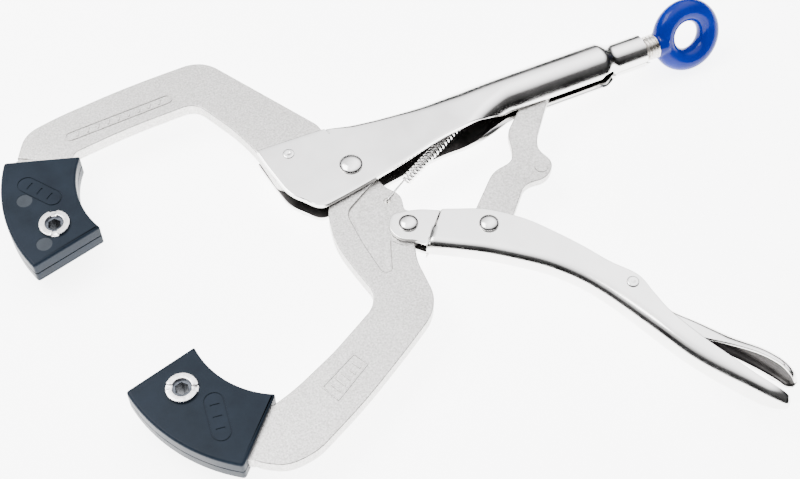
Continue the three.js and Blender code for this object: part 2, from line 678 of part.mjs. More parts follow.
function addRivet(name, centre, radius, headRadius, domeHeight, face) {
  const seat = face + FACE_GAP;
  const domeSteps = 3;
  const upper = Array.from({ length: domeSteps + 1 }, (_, i) => {
    const angle = (i / domeSteps) * (Math.PI / 2);
    const radius = i === domeSteps ? 0 : headRadius * Math.cos(angle);
    return [radius, seat + domeHeight * THREE.MathUtils.lerp(DOME_RIM, 1, Math.sin(angle))];
  });
  const topHalf = [[radius, seat], [headRadius, seat], ...upper];
  const bottomHalf = topHalf.map(([r, z]) => [r, -z]).reverse();
  addPart(name, turned(centre, [...bottomHalf, ...topHalf]), rivetSteel);
}

function addRivets() {
  const earFace = LUG_THICKNESS / 2 + EAR_GAP + LEVER_SHEET;
  const linkFace = LEVER_STATIONS[3].half;
  const releaseFace = LEVER_STATIONS[8].half;
  const mainRivet = [MAIN_RIVET_RADIUS, MAIN_HEAD_RADIUS, DOME_HEIGHT];
  const smallRivet = [SMALL_RIVET_RADIUS, SMALL_HEAD_RADIUS, SMALL_DOME_HEIGHT];
  addRivet('jaw_pivot_rivet', MAIN_PIVOT, ...mainRivet, HANDLE_FRONT_HALF);
  addRivet('fixed_jaw_rivet', JAW_RIVET, ...smallRivet, HANDLE_FRONT_HALF);
  addRivet('lever_pivot_rivet', LEVER_PIVOT, LEVER_RIVET_RADIUS, LEVER_HEAD_RADIUS, DOME_HEIGHT, earFace);
  addRivet('link_pivot_rivet', LINK_PIVOT, LEVER_RIVET_RADIUS, LEVER_HEAD_RADIUS, DOME_HEIGHT, linkFace);
  addRivet('release_lever_rivet', RELEASE_PIVOT, ...smallRivet, releaseFace);
}

// ---- adjusting screw with its eye, its plain nose and the eye's coating ---------------------------------

function eyeRing(tubeRadius) {
  const ring = new THREE.TorusGeometry(EYE_RING_RADIUS, tubeRadius, 10, 24);
  return solid(ring.rotateX(EYE_TURN).translate(EYE_CENTRE_X, SCREW_AXIS_Y, 0));
}

function addAdjustingScrew() {
  const noseStart = LINK_BEARING[0] + LINK_END_RADIUS + NOSE_GAP;
  const noseEnd = noseStart + NOSE_LENGTH;
  const nose = turnedAlongX([
    [noseStart, 0],
    [noseStart, NOSE_RADIUS - 0.6],
    [noseStart + 0.6, NOSE_RADIUS],
    [noseEnd, NOSE_RADIUS],
    [noseEnd, 0],
  ], SCREW_AXIS_Y);
  addPart('screw_nose', nose, threadSteel);

  const root = SCREW_RADIUS - THREAD_DEPTH;
  const threadEnd = COATING_NECK_START - 0.4;
  const profile = [[noseEnd + FACE_GAP, 0], [noseEnd + FACE_GAP, root - 0.6], [noseEnd + 1, root]];
  for (let x = THREAD_START; x + SCREW_PITCH <= threadEnd; x += SCREW_PITCH) {
    profile.push([x, root], [x + SCREW_PITCH / 2, SCREW_RADIUS]);
  }
  const ringNear = EYE_CENTRE_X - EYE_RING_RADIUS;
  profile.push([threadEnd, root], [threadEnd, NECK_CORE_RADIUS]);
  profile.push([ringNear, NECK_CORE_RADIUS - 0.8], [ringNear, 0]);
  const shank = turnedAlongX(profile, SCREW_AXIS_Y, THREAD_SIDES);
  addPart('adjusting_screw', shank.add(eyeRing(EYE_CORE_RADIUS)), threadSteel);

  const neckRadius = NECK_CORE_RADIUS + COATING_THICKNESS;
  const neck = turnedAlongX([
    [COATING_NECK_START, 0],
    [COATING_NECK_START, neckRadius - 0.4],
    [COATING_NECK_START + 0.8, neckRadius],
    [ringNear, neckRadius + 0.4],
    [ringNear, 0],
  ], SCREW_AXIS_Y);
  const hollowNeck = turnedAlongX([
    [COATING_NECK_START - 1, 0],
    [COATING_NECK_START - 1, NECK_CORE_RADIUS + COATING_GAP],
    [ringNear, NECK_CORE_RADIUS - 0.8 + COATING_GAP],
    [ringNear, 0],
  ], SCREW_AXIS_Y);
  const coating = eyeRing(EYE_CORE_RADIUS + COATING_THICKNESS)
    .add(neck)
    .subtract(eyeRing(EYE_CORE_RADIUS + COATING_GAP))
    .subtract(hollowNeck);
  addPart('eye_coating', coating, blueVinyl);
}

// ---- return spring: plain outer shape of the coil with its two hooks ------------------------------------

const SPRING_COIL_RADIUS = 2.15;
const SPRING_WIRE_RADIUS = 0.42;
const COIL_START = [16.8, -12];
const COIL_END = [47.6, 4.6];

// Straight round rod between two points, run on a little at both ends.
function rod(from, to, radius, sides, extra) {
  const [start, end] = [new THREE.Vector3(...from), new THREE.Vector3(...to)];
  const run = end.clone().sub(start).setLength(extra);
  const path = new THREE.LineCurve3(start.sub(run), end.add(run));
  const section = new THREE.Shape().absarc(0, 0, radius, 0, 2 * Math.PI);
  return solid(new THREE.ExtrudeGeometry(section, { steps: 1, extrudePath: path, curveSegments: sides }));
}

function wire(points) {
  const overlap = SPRING_WIRE_RADIUS / 2;
  const runs = points.slice(1).map((point, i) => rod(points[i], point, SPRING_WIRE_RADIUS, 8, overlap));
  return runs.reduce((whole, run) => whole.add(run));
}

function addReturnSpring() {
  const overLug = LUG_THICKNESS / 2 + SPRING_WIRE_RADIUS + FACE_GAP;
  const [holeX, holeY] = HOOK_HOLE;
  const frontHook = wire([
    [holeX, holeY, -overLug],
    [holeX, holeY, overLug],
    [holeX + 5.6, holeY + 3.7, overLug],
    [COIL_START[0], COIL_START[1], 0],
  ]);
  const tabHeight = handleSize(SPRING_TAB_X).top - HANDLE_SHEET - SPRING_TAB_DROP;
  const rearHook = wire([
    [...COIL_END, 0],
    [SPRING_TAB_X - SPRING_TAB_THICKNESS / 2 - 2 * SPRING_WIRE_RADIUS, tabHeight + 2 * SPRING_WIRE_RADIUS, 0],
  ]);
  const coil = rod([...COIL_START, 0], [...COIL_END, 0], SPRING_COIL_RADIUS, 12, 0);
  addPart('return_spring', coil.add(frontHook).add(rearHook), springSteel);
}

// ---- assembly -------------------------------------------------------------------------------------------

addUpperHandle();
addFixedJaw();
addMovingJaw();
addLeverHandle();
addToggleLink();
addReleaseLever();
addRivets();
addAdjustingScrew();
addReturnSpring();
addPad('fixed', FIXED_PAD);
addPad('moving', MOVING_PAD);

const pliers = new THREE.Group();
pliers.add(...parts);
pliers.updateMatrixWorld(true);
const extent = new THREE.Box3().setFromObject(pliers, true);
const middle = extent.getCenter(new THREE.Vector3());
pliers.position.set(-middle.x, -middle.y, -extent.min.z);

export default pliers;
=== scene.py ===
import json
import math

import bmesh
import bpy
from mathutils import Matrix, Vector


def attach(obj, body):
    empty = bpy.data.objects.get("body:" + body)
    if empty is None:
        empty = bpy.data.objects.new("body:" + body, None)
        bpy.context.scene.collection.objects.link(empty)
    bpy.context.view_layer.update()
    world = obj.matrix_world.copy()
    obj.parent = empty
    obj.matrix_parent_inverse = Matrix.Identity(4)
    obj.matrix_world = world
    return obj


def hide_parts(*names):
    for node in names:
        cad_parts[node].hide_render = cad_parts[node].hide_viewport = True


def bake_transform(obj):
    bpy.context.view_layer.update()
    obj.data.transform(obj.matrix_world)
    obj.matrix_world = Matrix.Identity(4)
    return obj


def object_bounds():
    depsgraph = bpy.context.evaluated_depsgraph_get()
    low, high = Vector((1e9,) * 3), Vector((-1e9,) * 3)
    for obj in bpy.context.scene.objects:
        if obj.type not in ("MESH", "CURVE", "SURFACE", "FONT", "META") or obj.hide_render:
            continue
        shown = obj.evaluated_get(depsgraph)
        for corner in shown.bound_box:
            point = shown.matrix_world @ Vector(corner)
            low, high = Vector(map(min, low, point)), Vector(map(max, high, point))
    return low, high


# Locking pliers. Every piece is drawn in the tool's own plane, in millimetres: the main pivot is at
# x = y = 0, +X runs along the adjusting screw to its eye, +Y points away from the lever, and z = 0 is the
# jaws' mid-plane. An outline is a list of corners (x, y, rounding).

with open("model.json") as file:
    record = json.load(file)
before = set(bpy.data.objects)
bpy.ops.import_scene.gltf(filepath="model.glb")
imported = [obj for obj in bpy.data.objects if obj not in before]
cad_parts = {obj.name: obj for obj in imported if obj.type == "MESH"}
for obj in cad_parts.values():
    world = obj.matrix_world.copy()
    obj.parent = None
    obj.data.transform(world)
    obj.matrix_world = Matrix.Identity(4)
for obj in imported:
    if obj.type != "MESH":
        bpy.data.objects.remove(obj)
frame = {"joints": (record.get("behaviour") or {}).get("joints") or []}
cad_low, cad_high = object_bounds()
joint_places = {joint["name"]: joint.get("pos_m") for joint in frame["joints"]}

MM = 0.001
PIVOT = Vector(joint_places["jaw_pivot"])
FLOOR_Z = cad_low.z - 0.0024  # the dipped coating hangs a little below its CAD ring

JAW_HALF = 2.75
LUG_HALF = 1.85
HUB_RADIUS = 10.5
HUB_CLEARANCE = 1.4
PLATE_EDGE = 0.5  # rounding of the jaws' edges

HANDLE_SHEET = 2.0
COLLAR_SHEET = 1.5
HANDLE_FRONT_HALF = 5.1
TUBE_RADIUS = 9.1
SCREW_Y = 8.1
COLLAR_RADIUS = 6.6
COLLAR_START = 117.0
COLLAR_END = 130.5
SLOT_HALF = 2.5
NOTCH_X = 110.8
NOTCH_RADIUS = 3.9
SEAM_HALF = 0.07
SPINE_START = -2.4
SPRING_TAB_X = 57.0

LEVER_SHEET = 1.7
EAR_HALF = 3.8
LEVER_FRONT_HALF = 4.65
LEVER_REAR_HALF = 6.2
RELEASE_SHEET = 1.2
RELEASE_HALF = 2.6

LINK_HALF = 1.85
LEVER_PIVOT = (8.9, -32.5)
LINK_PIVOT = (35.4, -45.4)
RELEASE_PIVOT = (70.7, -89.3)
LINK_END = (86.0, SCREW_Y)
LINK_END_RADIUS = 4.8
JAW_RIVET = (-19.5, 14.4)
HOOK_HOLE = (6.5, -18.8)
HOOK_HOLE_RADIUS = 1.3

SCREW_RADIUS = 5.0
THREAD_DEPTH = 0.75
PITCH = 1.5
NOSE_START = 92.2
NOSE_END = 96.2
THREAD_START = 104.0
NECK_START = 136.8
EYE_X = 151.0
EYE_RADIUS = 10.3
EYE_TUBE = 4.6
EYE_TURN = math.radians(60)
NECK_RADIUS = 5.05

COIL_START = Vector((16.8, -12.0, 0))
COIL_END = Vector((47.6, 4.6, 0))
COIL_RADIUS = 1.85
COIL_TURNS = 20
WIRE_RADIUS = 0.42

PAD_TURN = math.radians(14.25)
PAD_HALF = 5.35
PAD_PARTING = 0.15
PAD_ARC_CENTRE = Vector((61.5, 6.5))
PAD_OUTER = 61.8
PAD_INNER = 34.0
PAD_FAR_OUTER = math.radians(138.3)
PAD_FAR_INNER = math.radians(130.5)
PAD_BOLT = Vector((15.6, 11.2))
PAD_EDGE = 1.1
PADS = {
    "fixed": (Vector((-121.8, 4.8)), 1, "handle"),
    "moving": (Vector((-107.7, -56.7)), -1, "moving_jaw"),
}
PAD_PIN_MARKS = {"fixed": [(12.4, 27.2), (8.2, 6.0)], "moving": []}
PIN_MARK_RADIUS = 2.9
NUT_SLOT_TURN = {"fixed": math.radians(62), "moving": math.radians(40)}
NUT_RADIUS = 5.7
FLANGE_HEIGHT = 1.15
NUT_GAP = 0.05  # between a pad's face and the flange or head on it

WORLD_STRENGTH = (2.5, 6.0)  # over the far left, over the near right


# ---- outlines and curves --------------------

def rounded(corners, closed=True, step=0.7):
    """Dense line through corners (x, y, rounding), each corner a smooth curve."""
    count = len(corners)
    points = []
    for k, (x, y, rounding) in enumerate(corners):
        corner = Vector((x, y))
        if not closed and k in (0, count - 1):
            points.append(corner)
            continue
        back = Vector(corners[k - 1][:2]) - corner
        ahead = Vector(corners[(k + 1) % count][:2]) - corner
        reach = min(rounding, 0.48 * back.length, 0.48 * ahead.length)
        enter = corner + back.normalized() * reach
        leave = corner + ahead.normalized() * reach
        steps = max(1, math.ceil(2 * reach / step)) if reach > 0 else 0
        points.append(enter)
        for i in range(1, steps + 1):
            t = i / steps
            points.append(enter * (1 - t) ** 2 + corner * 2 * t * (1 - t) + leave * t * t)
    return points


def unit(angle):
    return Vector((math.cos(angle), math.sin(angle)))


def arc_corners(centre, radius, degrees):
    """Corners without rounding, one at each angle of an arc."""
    angles = [math.radians(angle) for angle in degrees]
    return [(centre[0] + radius * math.cos(a), centre[1] + radius * math.sin(a), 0) for a in angles]


def circle(centre, radius, steps=40):
    angles = [2 * math.pi * i / steps for i in range(steps)]
    return [Vector(centre) + radius * unit(a) for a in angles]


def anticlockwise(loop):
    area = sum(a.cross(b) for a, b in zip(loop, loop[1:] + loop[:1]))
    return loop if area > 0 else loop[::-1]


def inset_loop(loop, inset):
    """The loop moved into the material, which lies on its left."""
    moved = []
    for k, point in enumerate(loop):
        before = (point - loop[k - 1]).normalized()
        after = (loop[(k + 1) % len(loop)] - point).normalized()
        normal = Vector((-before.y, before.x)) + Vector((-after.y, after.x))
        cosine = max(0.0, before.dot(after))
        moved.append(point + normal * inset / (1 + cosine))
    return moved


def resampled(line, count):
    """count points evenly spaced along a line of points."""
    lengths = [0.0]
    for a, b in zip(line, line[1:]):
        lengths.append(lengths[-1] + (b - a).length)
    result = []
    k = 0
    for i in range(count):
        target = lengths[-1] * i / (count - 1)
        while k < len(line) - 2 and lengths[k + 1] < target:
            k += 1
        run = lengths[k + 1] - lengths[k]
        t = (target - lengths[k]) / run if run else 0.0
        result.append(line[k].lerp(line[k + 1], min(1.0, t)))
    return result


def patch(left, right, bottom, top):
    """Grid of points filling the area between four lines; bottom and top give the stations, left the rows."""
    stations = len(bottom)
    rows = len(left)
    grid = []
    for i in range(stations):
        u = i / (stations - 1)
        station = []
        for j in range(rows):
            v = j / (rows - 1)
            edges = bottom[i] * (1 - v) + top[i] * v + left[j] * (1 - u) + right[j] * u
            corners = (bottom[0] * (1 - u) + bottom[-1] * u) * (1 - v) + (top[0] * (1 - u) + top[-1] * u) * v
            station.append(edges - corners)
        grid.append(station)
    return grid


def ease(x, low, high):
    t = min(1.0, max(0.0, (x - low) / (high - low)))
    return t * t * (3 - 2 * t)


def mix(a, b, t):
    return a + (b - a) * t


def spline_value(values, t):
    """Smooth curve through evenly numbered values, at t between 0 and len - 1."""
    k = min(int(t), len(values) - 2)
    f = t - k
    p1 = values[k]
    p2 = values[k + 1]
    p0 = values[k - 1] if k else p1 * 2 - p2
    p3 = values[k + 2] if k + 2 < len(values) else p2 * 2 - p1
    return 0.5 * (
        p1 * 2 + (p2 - p0) * f + (p0 * 2 - p1 * 5 + p2 * 4 - p3) * f * f
        + (p1 * 3 - p0 - p2 * 3 + p3) * f ** 3
    )


# ---- meshes --------------------

def place(point):
    """Row-frame position of a point of the tool's plane."""
    return PIVOT + Vector(point) * MM


def linked(name, data):
    obj = bpy.data.objects.new(name, data)
    bpy.context.scene.collection.objects.link(obj)
    return obj


def new_object(name, bm):
    bmesh.ops.recalc_face_normals(bm, faces=bm.faces)
    mesh = bpy.data.meshes.new(name)
    bm.to_mesh(mesh)
    bm.free()
    return linked(name, mesh)


def edge_profile(low, high, top_edge, bottom_edge=None, steps=3):
    """(inset, z) pairs up the edge of a plate whose two edges are rounded."""
    bottom_edge = top_edge if bottom_edge is None else bottom_edge
    angles = [math.pi / 2 * i / steps for i in range(steps + 1)]
    lower = [(bottom_edge * (1 - math.sin(a)), low + bottom_edge * (1 - math.cos(a))) for a in angles]
    upper = [(top_edge * (1 - math.sin(a)), high - top_edge * (1 - math.cos(a))) for a in angles]
    return lower + upper[::-1]


def add_slab(bm, outer, profile, holes=(), to_tool=None):
    """Plate with an outer outline and holes, its edges following the profile."""
    to_tool = to_tool or (lambda p: p)
    cap_edges = {0: [], len(profile) - 1: []}
    for loop in [anticlockwise(list(outer))] + [anticlockwise(list(h))[::-1] for h in holes]:
        rings = []
        for inset, z in profile:
            ring = [to_tool(p) for p in inset_loop(loop, inset)]
            rings.append([bm.verts.new(place((p.x, p.y, z))) for p in ring])
        for lower, upper in zip(rings, rings[1:]):
            for k in range(len(lower)):
                bm.faces.new((lower[k - 1], lower[k], upper[k], upper[k - 1]))
        for level, edges in cap_edges.items():
            ring = rings[level]
            edges.extend(bm.edges.get((ring[k - 1], ring[k])) for k in range(len(ring)))
    for edges in cap_edges.values():
        bmesh.ops.triangle_fill(bm, edges=edges, use_beauty=True)


def slab(name, outer, profile, holes=(), to_tool=None):
    bm = bmesh.new()
    add_slab(bm, outer, profile, holes, to_tool)
    return new_object(name, bm)


def add_turned(bm, centre, profile, sides=48):
    """Round solid about z through (radius, z) pairs, closed on the axis at both ends."""
    rings = []
    for radius, z in profile:
        if radius < 1e-6:
            rings.append([bm.verts.new(place((centre[0], centre[1], z)))])
        else:
            rings.append([bm.verts.new(place((p.x, p.y, z))) for p in circle(centre, radius, sides)])
    join_rings(bm, rings, sides)


def join_rings(bm, rings, sides):
    for lower, upper in zip(rings, rings[1:]):
        for k in range(sides):
            corners = [lower[(k - 1) % len(lower)], lower[k % len(lower)], upper[k % len(upper)]]
            corners.append(upper[(k - 1) % len(upper)])
            unique = list(dict.fromkeys(corners))
            if len(unique) > 2:
                bm.faces.new(unique)


def sheet_metal(name, outer, thickness, keep):
    """Sheet of grid points outer[station][row], thickened along station x row, where keep has a cell."""
    stations = len(outer)
    rows = len(outer[0])
    inner = []
    for i in range(stations):
        line = []
        for j in range(rows):
            run = outer[min(i + 1, stations - 1)][j] - outer[max(i - 1, 0)][j]
            across = outer[i][min(j + 1, rows - 1)] - outer[i][max(j - 1, 0)]
            line.append(outer[i][j] + run.cross(across).normalized() * thickness(i))
        inner.append(line)
    bm = bmesh.new()
    skins = [[[bm.verts.new(place(p)) for p in line] for line in grid] for grid in (outer, inner)]

    def exists(i, j):
        return 0 <= i < stations - 1 and 0 <= j < rows - 1 and keep(i, j)

    for i in range(stations - 1):
        for j in range(rows - 1):
            if not exists(i, j):
                continue
            corners = [(i, j), (i + 1, j), (i + 1, j + 1), (i, j + 1)]
            for level, skin in enumerate(skins):
                # level 1 is the inner skin, which finish_piece gives the second material; for the handles
                # that is the painted-shade material
                face = bm.faces.new([skin[a][b] for a, b in corners])
                face.material_index = level
            neighbours = [(i, j - 1), (i + 1, j), (i, j + 1), (i - 1, j)]
            for k, (a, b) in enumerate(neighbours):
                if not exists(a, b):
                    (i0, j0), (i1, j1) = corners[k], corners[(k + 1) % 4]
                    bm.faces.new([skins[0][i0][j0], skins[0][i1][j1], skins[1][i1][j1], skins[1][i0][j0]])
    loose = [v for v in bm.verts if not v.link_faces]
    bmesh.ops.delete(bm, geom=loose, context="VERTS")
    bmesh.ops.remove_doubles(bm, verts=bm.verts, dist=0.01 * MM)
    return new_object(name, bm)


def mirrored(half_sections):
    """Full sections from half ones, which run from a free edge to the mid-plane."""
    full = []
    for section in half_sections:
        other = [Vector((p.x, p.y, -p.z)) for p in section[-2::-1]]
        full.append(section + other)
    return full


def applied(obj):
    """Bakes the object's modifiers into its mesh."""
    graph = bpy.context.evaluated_depsgraph_get()
    mesh = bpy.data.meshes.new_from_object(obj.evaluated_get(graph))
    obj.modifiers.clear()
    obj.data = mesh
    return obj


def cut(obj, *cutters):
    for cutter in cutters:
        modifier = obj.modifiers.new("cut", "BOOLEAN")
        modifier.operation = "DIFFERENCE"
        modifier.solver = "EXACT"
        modifier.object = cutter
    applied(obj)
    for cutter in cutters:
        bpy.data.objects.remove(cutter)
    return obj


def round_edges(obj, width, angle=50, segments=2):
    modifier = obj.modifiers.new("edges", "BEVEL")
    modifier.width = width * MM
    modifier.segments = segments
    modifier.limit_method = "ANGLE"
    modifier.angle_limit = math.radians(angle)
    modifier.use_clamp_overlap = False
    return applied(obj)


def finish_piece(obj, material, body, slot, *nodes, sharp=40, second=None):
    """Smooth shading, materials and the CAD frame's ties; faces numbered 1 get the second material."""
    indices = [polygon.material_index for polygon in obj.data.polygons]
    obj.data.materials.clear()
    obj.data.materials.append(material)
    if second:
        obj.data.materials.append(second)
        obj.data.polygons.foreach_set("material_index", [min(1, index) for index in indices])
    obj.data.shade_smooth()
    obj.data.set_sharp_from_angle(angle=math.radians(sharp))
    weighted = obj.modifiers.new("normals", "WEIGHTED_NORMAL")
    weighted.keep_sharp = True
    weighted.weight = 80
    if body:
        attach(obj, body)
    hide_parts(*nodes)
    return obj


# ---- materials --------------------

class Shader:
    """Node material with an object-space coordinate to hang procedural detail on."""

    def __init__(self, name):
        self.material = bpy.data.materials.new(name)
        self.material.use_nodes = True
        self.nodes = self.material.node_tree.nodes
        self.links = self.material.node_tree.links
        self.surface = self.nodes["Principled BSDF"]
        self.place = self.nodes.new("ShaderNodeTexCoord").outputs["Object"]

    def set(self, **values):
        for key, value in values.items():
            self.surface.inputs[key.replace("_", " ")].default_value = value

    def stretched(self, scale, turn=0.0):
        node = self.nodes.new("ShaderNodeMapping")
        node.inputs["Scale"].default_value = scale
        node.inputs["Rotation"].default_value = (0, 0, turn)
        self.links.new(self.place, node.inputs["Vector"])
        return node.outputs["Vector"]

    def noise(self, scale, detail=3.0, roughness=0.55, vector=None):
        node = self.nodes.new("ShaderNodeTexNoise")
        node.inputs["Scale"].default_value = scale
        node.inputs["Detail"].default_value = detail
        node.inputs["Roughness"].default_value = roughness
        self.links.new(vector or self.place, node.inputs["Vector"])
        return node.outputs["Fac"]

    def voronoi(self, scale, vector=None):
        node = self.nodes.new("ShaderNodeTexVoronoi")
        node.inputs["Scale"].default_value = scale
        self.links.new(vector or self.place, node.inputs["Vector"])
        return node.outputs["Distance"]

    def ranged(self, value, low, high, start=0.3, stop=0.7):
        node = self.nodes.new("ShaderNodeMapRange")
        node.inputs["From Min"].default_value = start
        node.inputs["From Max"].default_value = stop
        node.inputs["To Min"].default_value = low
        node.inputs["To Max"].default_value = high
        self.links.new(value, node.inputs["Value"])
        return node.outputs["Result"]

    def ramp(self, value, *stops):
        node = self.nodes.new("ShaderNodeValToRGB")
        ramp = node.color_ramp
        while len(ramp.elements) < len(stops):
            ramp.elements.new(0.5)
        for element, (position, color) in zip(ramp.elements, stops):
            element.position = position
            element.color = (*color, 1)
        self.links.new(value, node.inputs["Fac"])
        return node.outputs["Color"]

    def bump(self, height, strength, distance, below=None):
        node = self.nodes.new("ShaderNodeBump")
        node.inputs["Strength"].default_value = strength
        node.inputs["Distance"].default_value = distance * MM
        self.links.new(height, node.inputs["Height"])
        if below:
            self.links.new(below, node.inputs["Normal"])
        return node.outputs["Normal"]

    def link(self, output, name):
        self.links.new(output, self.surface.inputs[name])

    def finish(self, pattern, dark, light, roughness, normal, start=0.3):
        """Base colour and roughness between two values by one pattern, and the bump."""
        self.link(self.ramp(pattern, (start, dark), (0.7, light)), "Base Color")
        self.link(self.ranged(pattern, *roughness), "Roughness")
        self.link(normal, "Normal")
        return self.material


def satin_nickel():
    """Blasted and plated forging: fine grain, faint blotches."""
    shader = Shader("satin nickel")
    shader.set(Metallic=1.0)
    grain = shader.noise(1500, 2.0, 0.6)
    blotch = shader.noise(60, 4.0)
    shader.link(shader.ramp(grain, (0.3, (0.36, 0.35, 0.335)), (0.7, (0.66, 0.645, 0.625))), "Base Color")
    shader.link(shader.ranged(blotch, 0.36, 0.50), "Roughness")
    pits = shader.bump(shader.voronoi(1100), 0.25, 0.10)
    shader.link(shader.bump(grain, 0.45, 0.10, pits), "Normal")
    return shader.material


def painted_shade_inside():
    """Inner skin of the folded sheets: painted shade, a near-black colour standing in for the shade inside
    the channels.
    """
    shader = Shader("sheet inside painted shade")
    shader.set(Metallic=0.7)
    shade_mottle = shader.noise(160, 5.0, 0.6)
    bumps = shader.bump(shader.noise(900, 3.0), 0.20, 0.06)
    # the near-black colours are painted shade for the channels' insides, with a random mottle across them
    return shader.finish(shade_mottle, (0.030, 0.028, 0.027), (0.085, 0.080, 0.078), (0.30, 0.48), bumps)


def polished_nickel():
    """Polished and plated sheet: soft polishing streaks, broad waviness and handling haze."""
    shader = Shader("polished nickel")
    shader.set(Metallic=1.0)
    streaks = shader.noise(260, 3.0, 0.5, shader.stretched((0.12, 1.0, 1.0)))
    waves = shader.noise(30, 2.0, 0.4)
    haze = shader.noise(110, 5.0)
    bumps = shader.bump(streaks, 0.05, 0.05, shader.bump(waves, 0.10, 0.35))
    return shader.finish(haze, (0.70, 0.69, 0.675), (0.78, 0.77, 0.755), (0.13, 0.22), bumps)


def rivet_steel():
    shader = Shader("rivet steel")
    shader.set(Metallic=1.0)
    haze = shader.noise(700, 3.0)
    bumps = shader.bump(shader.noise(900, 2.0), 0.06, 0.05)
    return shader.finish(haze, (0.66, 0.65, 0.64), (0.78, 0.77, 0.76), (0.12, 0.24), bumps)


def thread_steel():
    shader = Shader("thread steel")
    shader.set(Metallic=1.0)
    dirt = shader.noise(350, 4.0)
    bumps = shader.bump(shader.noise(1600, 2.0), 0.12, 0.04)
    return shader.finish(dirt, (0.42, 0.38, 0.33), (0.72, 0.70, 0.67), (0.2, 0.38), bumps, start=0.25)


def spring_steel():
    shader = Shader("spring steel")
    shader.set(Metallic=1.0)
    tint = shader.noise(500, 2.0)
    bumps = shader.bump(tint, 0.05, 0.03)
    return shader.finish(tint, (0.62, 0.61, 0.60), (0.80, 0.79, 0.78), (0.14, 0.26), bumps)


def pad_plastic():
    """Moulded slate plastic: fine spark texture, slightly lighter in soft random clouds."""
    shader = Shader("pad plastic")
    shader.set(Specular_IOR_Level=0.07)
    bumps = shader.bump(shader.noise(1900, 2.0), 0.16, 0.05)
    cloud = shader.noise(90, 4.0)
    return shader.finish(cloud, (0.006, 0.010, 0.016), (0.010, 0.016, 0.025), (0.30, 0.42), bumps)


def ejector_plastic():
    """The same plastic where the mould's pins left it smoother."""
    shader = Shader("pad plastic pin mark")
    shader.set(Specular_IOR_Level=0.2)
    cloud = shader.noise(240, 3.0)
    bumps = shader.bump(shader.noise(1200, 2.0), 0.08, 0.04)
    return shader.finish(cloud, (0.016, 0.022, 0.030), (0.022, 0.029, 0.038), (0.30, 0.40), bumps)


def blue_vinyl():
    """Dipped coating: glossy, with the faint waviness of a poured film."""
    shader = Shader("blue vinyl")
    shader.set(Specular_IOR_Level=0.14)
    flow = shader.noise(70, 2.0)
    bumps = shader.bump(shader.noise(130, 2.0), 0.10, 0.25)
    return shader.finish(flow, (0.0002, 0.008, 0.15), (0.0004, 0.012, 0.21), (0.14, 0.22), bumps)


def black_oxide():
    shader = Shader("black oxide")
    shader.set(Metallic=0.85)
    mottle = shader.noise(800, 3.0)
    bumps = shader.bump(mottle, 0.15, 0.04)
    return shader.finish(mottle, (0.030, 0.034, 0.042), (0.075, 0.082, 0.095), (0.30, 0.46), bumps)


SATIN = satin_nickel()
POLISHED = polished_nickel()
# the inner skins' material is painted shade: near-black where there is only shade
INSIDE_SHADE = painted_shade_inside()
RIVET = rivet_steel()
THREAD = thread_steel()
SPRING = spring_steel()
PLASTIC = pad_plastic()
PIN_MARK = ejector_plastic()
VINYL = blue_vinyl()
OXIDE = black_oxide()


# ---- pads --------------------

def pad_to_tool(origin, side):
    u = unit(PAD_TURN)
    v = Vector((-u.y, u.x)) * side
    return lambda p: origin + u * p.x + v * p.y


def pad_sector(inset, start, beyond, corner):
    """Ring sector from the line v = start to the far end, inset from its arcs, its corners rounded."""
    steps = 20

    def arc(radius, far):
        near = math.pi - math.asin((start - PAD_ARC_CENTRE.y) / radius)
        points = []
        for i in range(steps + 1):
            angle = mix(near, far - beyond, i / steps)
            point = PAD_ARC_CENTRE + radius * unit(angle)
            points.append((point.x, point.y, 0 if i % steps else corner))
        return points

    inner = arc(PAD_INNER + inset, PAD_FAR_INNER)
    outer = arc(PAD_OUTER - inset, PAD_FAR_OUTER)
    return rounded(inner + outer[::-1], step=0.4)


def capsule(centre, length, width, turn):
    """Outline of a bar with round ends."""
    run = unit(turn) * (length - width) / 2
    angles = [math.pi * i / 12 for i in range(13)]
    points = []
    for sign in (1, -1):
        for a in angles:
            b = turn + a - math.pi / 2 + (0 if sign > 0 else math.pi)
            points.append(Vector(centre) + run * sign + unit(b) * width / 2)
    return points


def build_pad(prefix, origin, side, body):
    to_tool = pad_to_tool(origin, side)
    whole = pad_sector(0, 0, 0, 1.6)
    pocket_shape = pad_sector(3.3, 4.3, 0.35, 2)

    for shell, sign in (("front", 1), ("back", -1)):
        profile = edge_profile(PAD_PARTING, PAD_HALF, PAD_EDGE, 0.25, 5)
        if sign < 0:
            profile = [(inset, -z) for inset, z in profile[::-1]]
        shell_obj = slab(f"{prefix}_pad_{shell}", whole, profile, to_tool=to_tool)
        pocket = slab("pocket", pocket_shape, [(0, -3.05), (0, 3.05)], to_tool=to_tool)
        cutters = [pocket, slab("bore", circle(PAD_BOLT, 5.0), [(0, -9), (0, 9)], to_tool=to_tool)]
        shell_obj.data.materials.append(PLASTIC)
        shell_obj.data.materials.append(PIN_MARK)
        for centre in PAD_PIN_MARKS[prefix] if sign > 0 else ():
            depths = [(0, PAD_HALF - 0.12), (0, PAD_HALF + 1)]
            mark = slab("mark", circle(centre, PIN_MARK_RADIUS), depths, to_tool=to_tool)
            mark.data.materials.append(PLASTIC)
            mark.data.materials.append(PIN_MARK)
            mark.data.polygons.foreach_set("material_index", [1] * len(mark.data.polygons))
            cutters.append(mark)
        for outline, hole in pad_emblem(prefix):
            depths = [(0, sign * (PAD_HALF - 0.3)), (0, sign * (PAD_HALF + 1))]
            cutters.append(slab("groove", outline, depths, [hole] if hole else [], to_tool=to_tool))
        cut(shell_obj, *cutters)
        node = f"{prefix}_pad_{shell}_shell"
        finish_piece(shell_obj, PLASTIC, body, "pad_plastic", node, sharp=35, second=PIN_MARK)

    build_nut(prefix, to_tool, body)
    build_bolt(prefix, to_tool, body)


